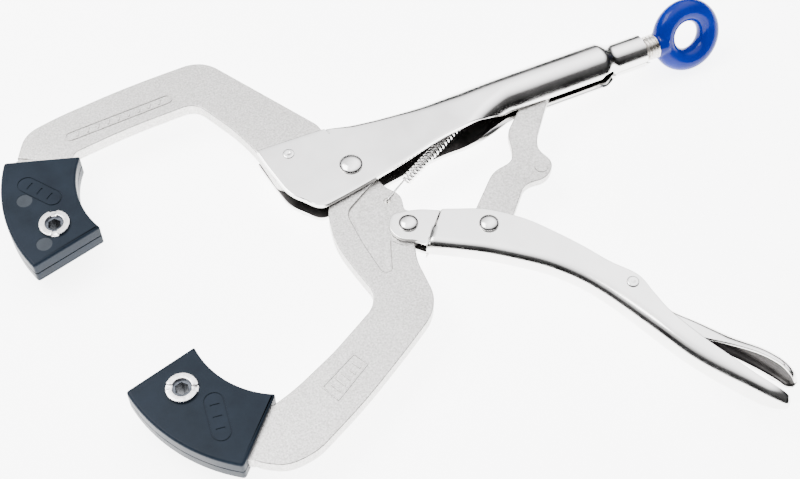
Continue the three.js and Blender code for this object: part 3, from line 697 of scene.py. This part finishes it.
def pad_emblem(prefix):
    """Grooves of a plain mark: a long frame with three short bars in it."""
    centre = Vector((19.0, 27.5))
    turn = math.radians(112)
    across = unit(turn)
    grooves = [(capsule(centre, 19, 7.2, turn), capsule(centre, 18.1, 6.3, turn)[::-1])]
    for shift in (-4.6, 0, 4.6):
        grooves.append((capsule(centre + across * shift, 3.4, 0.7, turn + math.pi / 2), None))
    return grooves


def build_nut(prefix, to_tool, body):
    """Sleeve nut: slotted flange on the front shell, barrel through the pad."""
    face = PAD_HALF + NUT_GAP
    flange = slab(
        f"{prefix}_pad_nut",
        circle(PAD_BOLT, NUT_RADIUS, 64),
        edge_profile(face, face + FLANGE_HEIGHT, 0.35, 0.1),
        [circle(PAD_BOLT, 3.35, 48)],
        to_tool,
    )
    turn = NUT_SLOT_TURN[prefix]
    run = unit(turn)
    slot = capsule(PAD_BOLT, 20, 1.9, turn)
    cutters = [slab("slot", slot, [(0, face + 0.35), (0, face + 4)], to_tool=to_tool)]
    for sign in (1, -1):
        centre = PAD_BOLT + run * 5.9 * sign
        nick = capsule(centre, 3.2, 2.6, turn)
        cutters.append(slab("nick", nick, [(0, face + 0.2), (0, face + 4)], to_tool=to_tool))
    cut(flange, *cutters)
    round_edges(flange, 0.12)
    bm = bmesh.new()
    bm.from_mesh(flange.data)
    barrel = [(0, -PAD_HALF + 0.1), (0, face + 0.1)]
    add_slab(bm, circle(PAD_BOLT, 4.9, 64), barrel, [circle(PAD_BOLT, 4.0, 48)], to_tool)
    bm.to_mesh(flange.data)
    bm.free()
    finish_piece(flange, RIVET, body, "rivet", f"{prefix}_pad_sleeve_nut", sharp=35)


def build_bolt(prefix, to_tool, body):
    """Socket bolt: head on the back shell, shank up to the nut's face, with a hexagon through it."""
    hexagon = [PAD_BOLT + 2.4 * unit(math.pi / 3 * i) for i in range(6)]
    bm = bmesh.new()
    add_slab(bm, circle(PAD_BOLT, 3.8, 48), edge_profile(-PAD_HALF, PAD_HALF + 0.1, 0.3), [hexagon], to_tool)
    back = -PAD_HALF - NUT_GAP
    head = edge_profile(back - FLANGE_HEIGHT, back, 0.1, 0.4)
    add_slab(bm, circle(PAD_BOLT, NUT_RADIUS, 64), head, [hexagon], to_tool)
    bolt = new_object(f"{prefix}_pad_bolt_visual", bm)
    finish_piece(bolt, OXIDE, body, "black_oxide", f"{prefix}_pad_bolt", sharp=35)


def add_pad_arm(bm, prefix):
    origin, side = PADS[prefix][:2]
    profile = [(0, -JAW_HALF + 0.02), (0, JAW_HALF - 0.02)]
    add_slab(bm, pad_sector(3.6, 4.6, 0.05, 2), profile, [circle(PAD_BOLT, 5.0)], pad_to_tool(origin, side))


# ---- jaws --------------------

FIXED_JAW = [
    (-113.4, 56.6, 0), (-107.6, 66.8, 6), (-93.7, 69.8, 12), (-64.1, 73.2, 14), (-32.9, 74.2, 8.5),
    (-2.9, 23.8, 3), (-3.6, 13, 0.6),
    *arc_corners((0, 0), HUB_RADIUS + HUB_CLEARANCE, range(105, 166, 5)),
    (-14.2, 3.4, 0), (-25.0, 3.0, 1.5), (-28.0, 5.8, 2), (-28.6, 12, 6), (-29.8, 22.4, 6), (-33.4, 34.4, 8),
    (-42.8, 54.4, 5.5), (-70, 53.3, 12), (-92.3, 50.4, 1.5), (-95.4, 47, 0),
]


def build_fixed_jaw():
    bm = bmesh.new()
    add_slab(bm, rounded(FIXED_JAW), edge_profile(-JAW_HALF, JAW_HALF, PLATE_EDGE))
    add_pad_arm(bm, "fixed")
    start = Vector((-94.0, 58.3))
    turn = math.radians(3.2)
    run = unit(turn)
    rise = edge_profile(JAW_HALF - 0.3, JAW_HALF + 0.32, 0.14, 0)
    add_slab(bm, capsule(start + run * 22, 44, 4.4, turn), rise, [capsule(start + run * 22, 42.9, 3.3, turn)])
    for k in range(9):
        add_slab(bm, capsule(start + run * (5 + 4.2 * k), 2.6, 1.0, turn + 1.05), rise)
    jaw = new_object("fixed_jaw_arm", bm)
    finish_piece(jaw, SATIN, "handle", "jaw_plate", "fixed_jaw", sharp=35)


MOVING_JAW_LEFT = [
    (-16.4, -16.4, 3), (-18.8, -29, 10), (-16.9, -42, 10), (-14.4, -54, 6), (-17.6, -59.6, 5),
    (-36.8, -70.3, 4), (-54.5, -78.2, 8), (-64.6, -81.2, 0), (-78.4, -95.4, 0), (-75.2, -99.2, 3),
    (-67.6, -103.9, 7), (-56.6, -103.4, 7), (-34.2, -92.4, 10), (-13.1, -79.8, 10), (0.6, -71, 8),
    (5, -63.8, 6), (5.4, -48, 4), (7.27, -41.9, 0),
]
RECESS_EDGE = [
    (2.7, -39, 2), (0.1, -35.4, 0.8), (-4.7, -48.2, 1.6), (-7.9, -47.4, 1.6), (-9.4, -33, 4),
    (-9.6, -17.9, 3.5), (6.4, -8.6, 0),
]
LUG = [
    (8.17, -6.6, 0), (7.2, -7.9, 0), (8.4, -12.6, 2), (12.4, -18.2, 3), (10.6, -25.2, 1.5), (15.4, -27.6, 5),
    (16.8, -37.6, 6), (8, -39.5, 2), (7.27, -41.9, 0), (4.5, -50, 0), (-9, -51, 0), (-13, -40, 0),
    (-13.2, -25, 0), (-11, -13, 0), (-3, -4.5, 0), (7.5, -5.2, 0),
]


def build_moving_jaw():
    hub = arc_corners((0, 0), HUB_RADIUS, range(-38, 205, 6))
    bm = bmesh.new()
    add_slab(bm, rounded(hub + MOVING_JAW_LEFT + RECESS_EDGE), edge_profile(-JAW_HALF, JAW_HALF, PLATE_EDGE))
    lug_hole = [circle(HOOK_HOLE, HOOK_HOLE_RADIUS, 28)]
    add_slab(bm, rounded(LUG), edge_profile(-LUG_HALF, LUG_HALF, 0.3), lug_hole)
    add_pad_arm(bm, "moving")
    corners = [(-46.1, -81.5, 0.6), (-30.8, -73.8, 0.6), (-27.7, -79.7, 0.6), (-42.9, -88.8, 0.6)]
    box = rounded(corners)
    rise = edge_profile(JAW_HALF - 0.3, JAW_HALF + 0.28, 0.12, 0)
    add_slab(bm, box, rise, [inset_loop(anticlockwise(box), 0.45)])
    low, high = Vector(corners[3][:2]), Vector(corners[0][:2])
    right_low, right_high = Vector(corners[2][:2]), Vector(corners[1][:2])
    for t in (0.18, 0.34, 0.5, 0.66, 0.82):
        foot = low.lerp(right_low, t)
        head = high.lerp(right_high, t)
        turn = math.atan2(head.y - foot.y, head.x - foot.x)
        add_slab(bm, capsule(foot.lerp(head, 0.5), (head - foot).length * 0.62, 0.7, turn), rise)
    jaw = new_object("moving_jaw_arm", bm)
    finish_piece(jaw, SATIN, "moving_jaw", "jaw_plate", "moving_jaw", sharp=35)


# ---- upper handle --------------------

HANDLE_LEFT = [(-30.1, 20.9, 0), (-29, 12, 6), (-26.6, -2.2, 6), (-22.1, -7.9, 0)]
HANDLE_LOWER = [
    (-22.1, -7.9, 0), (-17.6, -13.6, 7), (-4, -11.4, 6), (6.7, -9.2, 6), (22.1, -6.3, 8),
    (36, -3.1, 8), (52, -2.5, 10), (60, -2.1, 5), (68, -0.65, 0), (72, -0.65, 0),
]
HANDLE_TOP = [
    (-2.5, 20.2, 0), (8, 18.7, 5), (18, 17.0, 6), (34, 15.3, 8), (52, 16.9, 9),
    (72, SCREW_Y + TUBE_RADIUS, 8), (140, SCREW_Y + TUBE_RADIUS, 0),
]
HANDLE_HALF = [
    (-3, HANDLE_FRONT_HALF, 0), (14, HANDLE_FRONT_HALF, 8), (48, 8.6, 8), (60, 8.6, 4),
    (68, TUBE_RADIUS, 4), (140, TUBE_RADIUS, 0),
]
SIDE_ROWS = 18
BEND_ROWS = 10
SPINE_ROWS = 3
lower_edge = rounded(HANDLE_LOWER, closed=False)
handle_top = rounded(HANDLE_TOP, closed=False)
handle_half = rounded(HANDLE_HALF, closed=False)


def height_at(line, x):
    for a, b in zip(line, line[1:]):
        if b.x >= x:
            return mix(a.y, b.y, (x - a.x) / (b.x - a.x))
    return line[-1].y


def slot_gap(x):
    """Half the gap between the handle's free edges: slot, round notch, then the closed seam."""
    reach = abs(x - NOTCH_X)
    notch = math.sqrt(NOTCH_RADIUS ** 2 - reach ** 2) if reach < NOTCH_RADIUS else 0.0
    return max(notch, SLOT_HALF if x < NOTCH_X else SEAM_HALF)


def handle_half_section(x):
    """Points from the free edge to the middle of the back."""
    neck = ease(x, 110.2, COLLAR_START) * (TUBE_RADIUS - COLLAR_RADIUS)
    chamfer = 0.55 * max(0.0, (x - (COLLAR_END - 0.6)) / 0.6)
    w = height_at(handle_half, x) - neck - chamfer
    top = height_at(handle_top, x) - neck - chamfer
    small_bend = mix(1.2, 3.0, ease(x, SPINE_START, 9))
    bend = min(0.95 * w, mix(small_bend, w, ease(x, 9, 60)))
    start = top - bend
    slotted = math.pi / 2 - math.asin(min(0.95, slot_gap(max(x, 68)) / w))
    curl = slotted * ease(x, 42, 68)
    straight = max(0.02, start - height_at(lower_edge, x) - w * math.sin(curl)) if x < 68 else start - SCREW_Y
    length = w * curl + straight
    points = []
    for j in range(SIDE_ROWS):
        d = length * j / SIDE_ROWS
        if d < w * curl:
            angle = curl - d / w
            points.append(Vector((x, start - straight - w * math.sin(angle), w * math.cos(angle))))
        else:
            points.append(Vector((x, start - (length - d), w)))
    for j in range(BEND_ROWS):
        angle = math.pi / 2 * j / BEND_ROWS
        points.append(Vector((x, start + bend * math.sin(angle), w - bend + bend * math.cos(angle))))
    for j in range(SPINE_ROWS + 1):
        points.append(Vector((x, top, (w - bend) * (1 - j / SPINE_ROWS))))
    return points


def build_upper_handle():
    nose_stations = 26
    left = resampled(rounded(HANDLE_LEFT, closed=False)[::-1], SIDE_ROWS + 1)
    near_spine = SPINE_START - 0.1
    bottom_line = [p for p in lower_edge if p.x < near_spine - 0.2]
    bottom_line.append(Vector((near_spine, height_at(lower_edge, near_spine))))
    bottom = resampled(bottom_line, nose_stations)
    top = resampled([left[-1], Vector((near_spine, 20.2))], nose_stations)
    right = resampled([bottom[-1], top[-1]], SIDE_ROWS + 1)
    halves = []
    for station in patch(left, right, bottom, top):
        side = [Vector((p.x, p.y, HANDLE_FRONT_HALF)) for p in station]
        side += [side[-1]] * (BEND_ROWS + SPINE_ROWS)
        halves.append(side)
    positions = [SPINE_START + 0.25 + 1.2 * i for i in range(91)]
    positions += [107.0 + 0.3 * i for i in range(1, 35)]
    positions += [117.8, 120, 123, 126, 128.5]
    positions += [COLLAR_END - back for back in (0.7, 0.6, 0.3, 0.0)]
    halves += [handle_half_section(x) for x in positions]
    sections = mirrored(halves)
    row_count = len(sections[0])

    def keep(i, j):
        in_side = j < SIDE_ROWS or j >= row_count - 1 - SIDE_ROWS
        return in_side or i >= nose_stations

    def thickness(i):
        return -mix(HANDLE_SHEET, COLLAR_SHEET, ease(sections[i][0].x, 109, COLLAR_START))

    handle = sheet_metal("upper_handle_shell", sections, thickness, keep)
    round_edges(handle, 0.45)
    bm = bmesh.new()
    bm.from_mesh(handle.data)
    tab_top = height_at(handle_top, SPRING_TAB_X) - HANDLE_SHEET + 0.4
    tab = [
        Vector((SPRING_TAB_X - 0.8, tab_top)), Vector((SPRING_TAB_X - 0.8, tab_top - 5.4)),
        Vector((SPRING_TAB_X + 0.8, tab_top - 5.4)), Vector((SPRING_TAB_X + 0.8, tab_top)),
    ]
    add_slab(bm, tab, edge_profile(-1.6, 1.6, 0.25))
    bmesh.ops.recalc_face_normals(bm, faces=bm.faces)
    bm.to_mesh(handle.data)
    bm.free()
    finish_piece(handle, POLISHED, "handle", "handle_plate", "upper_handle", sharp=38, second=INSIDE_SHADE)


# ---- lever handle and release lever --------------------

# (spine point, edge point, half width, corner radius)
LEVER = [
    (10.8, -43.8, 22.0, -31.8, LEVER_FRONT_HALF, 3.6), (19.0, -48.9, 27.6, -34.2, LEVER_FRONT_HALF, 3.8),
    (29.4, -55.6, 37.5, -39.0, 4.75, 4.1), (39.5, -63.6, 48.2, -48.4, 4.85, 4.3),
    (47.1, -70.4, 56.0, -58.8, 4.95, 4.4), (53.8, -78.6, 62.3, -68.6, 5.05, 4.6),
    (58.6, -86.5, 67.6, -78.0, 5.15, 4.7), (62.6, -94.9, 74.0, -87.2, 5.25, 4.8),
    (66.2, -103.6, 75.4, -96.2, 5.45, 5.0), (70.2, -113.6, 76.8, -105.2, 5.65, 5.2),
    (74.2, -122.9, 81.1, -117.8, 5.8, 5.3), (79.0, -131.6, 86.0, -129.3, 6.1, 5.4),
    (84.6, -140.2, 90.2, -139.0, LEVER_REAR_HALF, 5.4), (90.0, -147.8, 94.0, -145.6, 5.6, 4.2),
    (94.4, -152.0, 97.0, -149.4, 3.6, 2.8), (96.4, -152.8, 97.6, -151.6, 1.6, 1.0),
]
RELEASE = [
    (51.0, -60.7, 47.3, -64.6, RELEASE_HALF, 1.2), (56.2, -67.2, 51.8, -71.0, RELEASE_HALF, 1.4),
    (63.2, -76.6, 57.8, -80.8, RELEASE_HALF, 1.4), (69.8, -86.0, 63.9, -90.2, RELEASE_HALF, 1.6),
    (74.4, -94.6, 67.5, -97.8, RELEASE_HALF, 1.8), (79.0, -103.6, 71.6, -107.2, 2.8, 2.2),
    (85.5, -111.9, 79.5, -115.6, 3.2, 2.8), (93.2, -122.2, 89.3, -124.9, 4.4, 4.4),
    (99.6, -130.2, 95.9, -132.6, 5.8, 5.8), (103.6, -137.6, 100.1, -139.4, 6.0, 6.0),
    (104.8, -142.8, 101.6, -144.0, 4.8, 4.8), (104.2, -146.0, 102.4, -146.4, 1.6, 1.4),
]
WALL_ROWS = 9
CORNER_ROWS = 9
BASE_ROWS = 3
EAR_RADIUS = 7.1
EAR_LEFT = arc_corners(LEVER_PIVOT, EAR_RADIUS, range(238, 114, -4))
EAR_LOWER = [EAR_LEFT[0], (8.2, -40.0, 2.4), (11.4, -43.6, 1), (12.3, -42.2, 0)]
EAR_UPPER = [EAR_LEFT[-1], (14.2, -27.6, 6), (22.0, -31.8, 0)]


def channel_half_sections(stations, per_span, squeeze=None):
    """Half sections of a U-shaped channel, from the free edge down the wall and across to the mid-plane."""
    count = (len(stations) - 1) * per_span + 1
    columns = list(zip(*stations))
    halves = []
    for i in range(count):
        t = i / per_span
        sx, sy, ex, ey, half, corner = [spline_value(column, t) for column in columns]
        spine = Vector((sx, sy))
        up = Vector((ex, ey)) - spine
        height = up.length
        up.normalize()
        half = max(0.6, half - (squeeze(t) if squeeze else 0.0))
        r = max(0.15, min(corner, 0.92 * half))
        rise = max(0.15, min(corner, 0.85 * height))
        profile = [(half, mix(height, rise, j / WALL_ROWS)) for j in range(WALL_ROWS)]
        for j in range(CORNER_ROWS):
            angle = math.pi / 2 * j / CORNER_ROWS
            profile.append((half - r + r * math.cos(angle), rise - rise * math.sin(angle)))
        profile += [((half - r) * (1 - j / BASE_ROWS), 0.0) for j in range(BASE_ROWS + 1)]
        halves.append([Vector((*(spine + up * h), z)) for z, h in profile])
    return halves


def build_lever():
    ear_stations = 14
    step = LEVER_FRONT_HALF - EAR_HALF
    spans = 7

    def squeeze(t):
        return step * (1 - ease(t, 0.0, 1.0 / spans))

    trough = channel_half_sections(LEVER, spans, squeeze)
    fold = [Vector((p.x, p.y)) for p in trough[0][:WALL_ROWS + 1]]
    left = resampled(rounded(EAR_LEFT, closed=False)[::-1], WALL_ROWS + 1)
    upper = resampled(rounded(EAR_UPPER[:-1] + [(fold[0].x, fold[0].y, 0)], closed=False), ear_stations)
    lower = resampled(rounded(EAR_LOWER[:-1] + [(fold[-1].x, fold[-1].y, 0)], closed=False), ear_stations)
    halves = []
    for station in patch(left, fold, upper, lower)[:-1]:
        wall = [Vector((p.x, p.y, EAR_HALF)) for p in station]
        halves.append(wall + [wall[-1]] * (CORNER_ROWS + BASE_ROWS))
    sections = mirrored(halves + trough)
    row_count = len(sections[0])

    def keep(i, j):
        in_wall = j < WALL_ROWS or j >= row_count - 1 - WALL_ROWS
        return in_wall or i >= ear_stations - 1

    def thickness(i):
        left_over = len(sections) - 1 - i
        return LEVER_SHEET * mix(0.35, 1.0, ease(left_over, 0, 2.2 * spans))

    lever = sheet_metal("lever_handle_shell", sections, thickness, keep)
    round_edges(lever, 0.32)
    finish_piece(lever, POLISHED, "lever", "handle_plate", "lever_handle", sharp=38, second=INSIDE_SHADE)


def build_release_lever():
    spans = 7
    sections = mirrored(channel_half_sections(RELEASE, spans))

    def thickness(i):
        return -RELEASE_SHEET * mix(0.35, 1.0, ease(len(sections) - 1 - i, 0, 1.6 * spans))

    lever = sheet_metal("release_lever_shell", sections, thickness, lambda i, j: True)
    round_edges(lever, 0.2)
    finish_piece(lever, POLISHED, "release_lever", "handle_plate", "release_lever", sharp=38, second=INSIDE_SHADE)


# ---- toggle link and rivets --------------------

def build_toggle_link():
    ahead = Vector((0.68, 0.733))
    across = Vector((-ahead.y, ahead.x))
    end = Vector(LINK_END)

    def corner(sign):
        point = end + (ahead + across * sign) * LINK_END_RADIUS
        return (point.x, point.y, LINK_END_RADIUS * 0.95)

    outline = [
        corner(1), (69, -1.6, 6), (61.6, -8.4, 3.5), (60.2, -15, 3.5), (57.6, -21.2, 3.5), (48.2, -22.8, 3.5),
        (35.5, -34.9, 6), (28.8, -41.4, 5.6), (33.4, -52.4, 5.6), (42.2, -48.4, 5.6), (56.6, -33.0, 3.5),
        (65.8, -33.8, 3.5), (71.6, -28.4, 4.5), (68.8, -20.2, 4.5), (71.2, -15, 4.5), (83.3, -0.4, 6),
        corner(-1),
    ]
    bm = bmesh.new()
    add_slab(bm, rounded(outline), edge_profile(-LINK_HALF, LINK_HALF, PLATE_EDGE))
    top = LINK_HALF + 0.25
    boss = [(0, -top), (2.4, -top), (3, 0.6 - LINK_HALF), (3, LINK_HALF - 0.6), (2.4, top), (0, top)]
    add_turned(bm, (66, -28.4), boss)
    link = new_object("toggle_link_plate", bm)
    finish_piece(link, SATIN, "link", "jaw_plate", "toggle_link", sharp=35)


def build_rivet(node, centre, shank, head, dome, face, body, dimple=0.0):
    """Rivet with a domed head on each side; a small one has a dimple in it."""
    seat = face + 0.05
    steps = 14
    upper = []
    for i in range(steps + 1):
        angle = math.pi / 2 * i / steps
        radius = head * math.cos(angle) if i < steps else 0.0
        dip = dimple * math.exp(-((radius / (head * 0.42)) ** 2))
        upper.append((radius, seat + dome * (0.16 + 0.84 * math.sin(angle)) - dip))
    top_half = [(shank, seat), (head * 0.985, seat), *upper]
    bottom_half = [(r, -z) for r, z in top_half[::-1]]
    bm = bmesh.new()
    add_turned(bm, centre, bottom_half + top_half, 56)
    rivet = new_object(f"{node}_head", bm)
    finish_piece(rivet, RIVET, body, "rivet", node, sharp=60)


def build_rivets():
    ear_face = LUG_HALF + 0.25 + LEVER_SHEET
    build_rivet("jaw_pivot_rivet", (0, 0), 3.2, 4.4, 1.7, HANDLE_FRONT_HALF, "handle")
    build_rivet("fixed_jaw_rivet", JAW_RIVET, 1.7, 2.2, 0.5, HANDLE_FRONT_HALF, "handle", 0.35)
    build_rivet("lever_pivot_rivet", LEVER_PIVOT, 2.6, 3.65, 1.7, ear_face, "lever")
    build_rivet("link_pivot_rivet", LINK_PIVOT, 2.6, 3.65, 1.7, 4.85, "lever")
    build_rivet("release_lever_rivet", RELEASE_PIVOT, 1.7, 2.2, 0.5, 5.45, "lever", 0.3)


# ---- adjusting screw and eye --------------------

def ring_about_screw(bm, x, radii):
    """Ring of vertices round the screw's axis at x, one radius for each direction."""
    ring = []
    for k, radius in enumerate(radii):
        angle = 2 * math.pi * k / len(radii)
        ring.append(bm.verts.new(place((x, SCREW_Y + radius * math.cos(angle), radius * math.sin(angle)))))
    return ring


def turned_along_screw(bm, profile, sides=48):
    rings = []
    for x, radius in profile:
        if radius < 1e-6:
            rings.append([bm.verts.new(place((x, SCREW_Y, 0)))])
        else:
            rings.append(ring_about_screw(bm, x, [radius] * sides))
    join_rings(bm, rings, sides)


def build_screw():
    bm = bmesh.new()
    nose = [
        (NOSE_START, 0), (NOSE_START, 2.6), (NOSE_START + 0.2, 3.0), (NOSE_START + 0.7, 3.4),
        (NOSE_END, 3.4), (NOSE_END, 0),
    ]
    turned_along_screw(bm, nose)
    finish_piece(new_object("screw_nose_tip", bm), THREAD, "screw_carriage", "screw_steel", "screw_nose")

    sides = 48
    per_turn = 12
    root = SCREW_RADIUS - THREAD_DEPTH
    end = NECK_START + 1.0
    bm = bmesh.new()
    plain_end = NOSE_END + 0.05
    turned_along_screw(bm, [
        (plain_end, 0), (plain_end, root - 0.6), (NOSE_END + 0.6, root),
        (THREAD_START, root), (THREAD_START, 0),
    ])
    rings = [[bm.verts.new(place((THREAD_START, SCREW_Y, 0)))]]
    count = int((end - THREAD_START) / PITCH * per_turn)
    for i in range(count + 1):
        x = THREAD_START + i * PITCH / per_turn
        radii = []
        for k in range(sides):
            phase = (x / PITCH - k / sides) % 1.0
            ridge = 1 - abs(2 * phase - 1)
            radii.append(root + THREAD_DEPTH * min(1.0, max(0.0, 1.35 * ridge - 0.15)))
        rings.append(ring_about_screw(bm, x, radii))
    rings.append([bm.verts.new(place((x, SCREW_Y, 0)))])
    join_rings(bm, rings, sides)
    screw = new_object("adjusting_screw_thread", bm)
    finish_piece(screw, THREAD, "adjuster", "screw_steel", "adjusting_screw", sharp=50)


def build_eye():
    """Ring and neck under one dipped coating."""
    bm = bmesh.new()
    tube_sides = 40
    ring_sides = 96
    rings = []
    for i in range(ring_sides):
        turn = 2 * math.pi * i / ring_sides
        ring = []
        for k in range(tube_sides):
            angle = 2 * math.pi * k / tube_sides
            reach = EYE_RADIUS + EYE_TUBE * math.cos(angle)
            flat = Vector((reach * math.cos(turn), reach * math.sin(turn), EYE_TUBE * math.sin(angle)))
            turned = Matrix.Rotation(EYE_TURN, 3, "X") @ flat
            ring.append(bm.verts.new(place(turned + Vector((EYE_X, SCREW_Y, 0)))))
        rings.append(ring)
    for i in range(ring_sides):
        for k in range(tube_sides):
            bm.faces.new((rings[i - 1][k - 1], rings[i - 1][k], rings[i][k], rings[i][k - 1]))
    inner = EYE_X - EYE_RADIUS
    neck = [
        (NECK_START, 0), (NECK_START, NECK_RADIUS - 0.5), (NECK_START + 0.35, NECK_RADIUS - 0.1),
        (NECK_START + 1.0, NECK_RADIUS), (inner - 2.0, NECK_RADIUS + 0.15), (inner, NECK_RADIUS + 0.3),
        (inner, 0),
    ]
    turned_along_screw(bm, neck)
    eye = new_object("eye_vinyl", bm)
    remesh = eye.modifiers.new("dip", "REMESH")
    remesh.mode = "VOXEL"
    remesh.voxel_size = 0.32 * MM
    applied(eye)
    smooth = eye.modifiers.new("flow", "SMOOTH")
    smooth.iterations = 14
    smooth.factor = 0.5
    applied(eye)
    finish_piece(eye, VINYL, "adjuster", "blue_vinyl", "eye_coating", sharp=80)


# ---- return spring --------------------

def build_spring():
    """Close-wound coil with a hook at each end, as one wire."""
    axis = (COIL_END - COIL_START).normalized()
    side = Vector((-axis.y, axis.x, 0))
    per_turn = 20
    over_lug = LUG_HALF + WIRE_RADIUS + 0.05
    hole = Vector((*HOOK_HOLE, 0))
    wire = [
        hole + Vector((-1.0, 0.9, -over_lug)), hole + Vector((0, 0, -over_lug + 0.2)),
        hole + Vector((0.1, 0.1, over_lug - 0.5)), hole + Vector((0.9, 0.6, over_lug)),
        hole + Vector((5.6, 3.7, over_lug - 0.6)),
    ]
    length = (COIL_END - COIL_START).length
    for i in range(COIL_TURNS * per_turn + 1):
        turn = 2 * math.pi * i / per_turn
        radius = COIL_RADIUS * ease(i, -4, 8)
        offset = (side * math.cos(turn) + Vector((0, 0, 1)) * math.sin(turn)) * radius
        wire.append(COIL_START + axis * length * i / (COIL_TURNS * per_turn) + offset)
    tab_bottom = height_at(handle_top, SPRING_TAB_X) - HANDLE_SHEET - 5.0
    wire.append(Vector((SPRING_TAB_X - 3.2, tab_bottom - 0.2, 0.5)))
    wire.append(Vector((SPRING_TAB_X - 1.7, tab_bottom + 0.85, 0)))
    curve = bpy.data.curves.new("return_spring_wire", "CURVE")
    curve.dimensions = "3D"
    curve.bevel_depth = WIRE_RADIUS * MM
    curve.bevel_resolution = 2
    curve.use_fill_caps = True
    line = curve.splines.new("POLY")
    line.points.add(len(wire) - 1)
    for point, at in zip(line.points, wire):
        point.co = (*place(at), 1)
    holder = linked("return_spring_path", curve)
    bpy.context.view_layer.update()
    mesh = bpy.data.meshes.new_from_object(holder.evaluated_get(bpy.context.evaluated_depsgraph_get()))
    bpy.data.objects.remove(holder)
    spring = linked("return_spring_coil", mesh)
    finish_piece(spring, SPRING, None, "spring_steel", "return_spring", sharp=60)
    spring.modifiers.clear()
    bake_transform(spring)


# ---- surroundings --------------------

def build_floor():
    mesh = bpy.data.meshes.new("floor")
    size = 3.0
    corners = [(-size, -size, FLOOR_Z), (size, -size, FLOOR_Z), (size, size, FLOOR_Z), (-size, size, FLOOR_Z)]
    mesh.from_pydata(corners, [], [(0, 1, 2, 3)])
    floor = linked("floor", mesh)
    shader = Shader("studio floor")
    shader.set(Specular_IOR_Level=0.2, Emission_Color=(1, 1, 1, 1), Emission_Strength=6.0)
    cloud = shader.noise(3, 2.0)
    shader.link(shader.ramp(cloud, (0.3, (0.90, 0.90, 0.90)), (0.7, (0.93, 0.93, 0.93))), "Base Color")
    shader.link(shader.ranged(cloud, 0.75, 0.85), "Roughness")
    mesh.materials.append(shader.material)


def aim(obj, position, target):
    obj.location = position
    obj.rotation_mode = "QUATERNION"
    obj.rotation_quaternion = (target - obj.location).to_track_quat("-Z", "Y")


def area_light(name, position, size, power, target=(0, 0, 0)):
    light = bpy.data.lights.new(name, "AREA")
    light.shape = "RECTANGLE"
    light.size, light.size_y = size
    light.energy = power
    aim(linked(name, light), Vector(position), Vector(target))


def build_world():
    """White ceiling over the far side, dark near side and horizon, which the metal mirrors as bands."""
    world = bpy.data.worlds.new("room")
    world.use_nodes = True
    bpy.context.scene.world = world
    nodes = world.node_tree.nodes
    links = world.node_tree.links
    direction = nodes.new("ShaderNodeTexCoord").outputs["Generated"]

    def distance_along(axis):
        node = nodes.new("ShaderNodeVectorMath")
        node.operation = "DOT_PRODUCT"
        node.inputs[1].default_value = axis
        links.new(direction, node.inputs[0])
        return node.outputs["Value"]

    def brightness_along(axis, *stops):
        """Grey level by how far a direction points along an axis."""
        node = nodes.new("ShaderNodeValToRGB")
        ramp = node.color_ramp
        while len(ramp.elements) < len(stops):
            ramp.elements.new(0.5)
        for element, (position, level) in zip(ramp.elements, stops):
            element.position = position
            element.color = (level, level, level * 1.01, 1)
        links.new(distance_along(axis), node.inputs["Fac"])
        return node.outputs["Color"]

    ceiling = brightness_along(
        (0.0, 0.6, 0.8), (0.0, 0.015), (0.34, 0.02), (0.54, 0.42), (0.72, 0.74), (0.95, 0.98),
    )
    horizon = brightness_along((0.0, 0.0, 1.0), (0.0, 0.03), (0.38, 0.04), (0.60, 0.95), (1.0, 0.98))
    both = nodes.new("ShaderNodeMix")
    both.data_type = "RGBA"
    both.blend_type = "MULTIPLY"
    both.inputs["Factor"].default_value = 1.0
    links.new(ceiling, both.inputs["A"])
    links.new(horizon, both.inputs["B"])
    background = nodes["Background"]
    mixed = next(output for output in both.outputs if output.type == "RGBA")
    links.new(mixed, background.inputs["Color"])
    strength = nodes.new("ShaderNodeMapRange")
    strength.inputs["From Min"].default_value = -0.4
    strength.inputs["From Max"].default_value = 0.0
    strength.inputs["To Min"].default_value = WORLD_STRENGTH[0]
    strength.inputs["To Max"].default_value = WORLD_STRENGTH[1]
    links.new(distance_along((0.55, -0.6, 0.0)), strength.inputs["Value"])
    links.new(strength.outputs["Result"], background.inputs["Strength"])


def build_camera():
    target = PIVOT + Vector((4.16, -35.4, 0)) * MM
    data = bpy.data.cameras.new("camera")
    data.lens = 65.25
    data.sensor_width = 36
    camera = linked("camera", data)
    aim(camera, PIVOT + Vector((-118.7, -306.4, 441.1)) * MM, target)
    bpy.context.scene.camera = camera


# ---- assembly --------------------

build_fixed_jaw()
build_moving_jaw()
build_upper_handle()
build_lever()
build_release_lever()
build_toggle_link()
build_rivets()
build_screw()
build_eye()
build_spring()
for pad, (origin, side, body) in PADS.items():
    build_pad(pad, origin, side, body)

build_floor()
build_world()
area_light("key", (-0.45, 0.35, 0.9), (0.7, 0.5), 14)
build_camera()
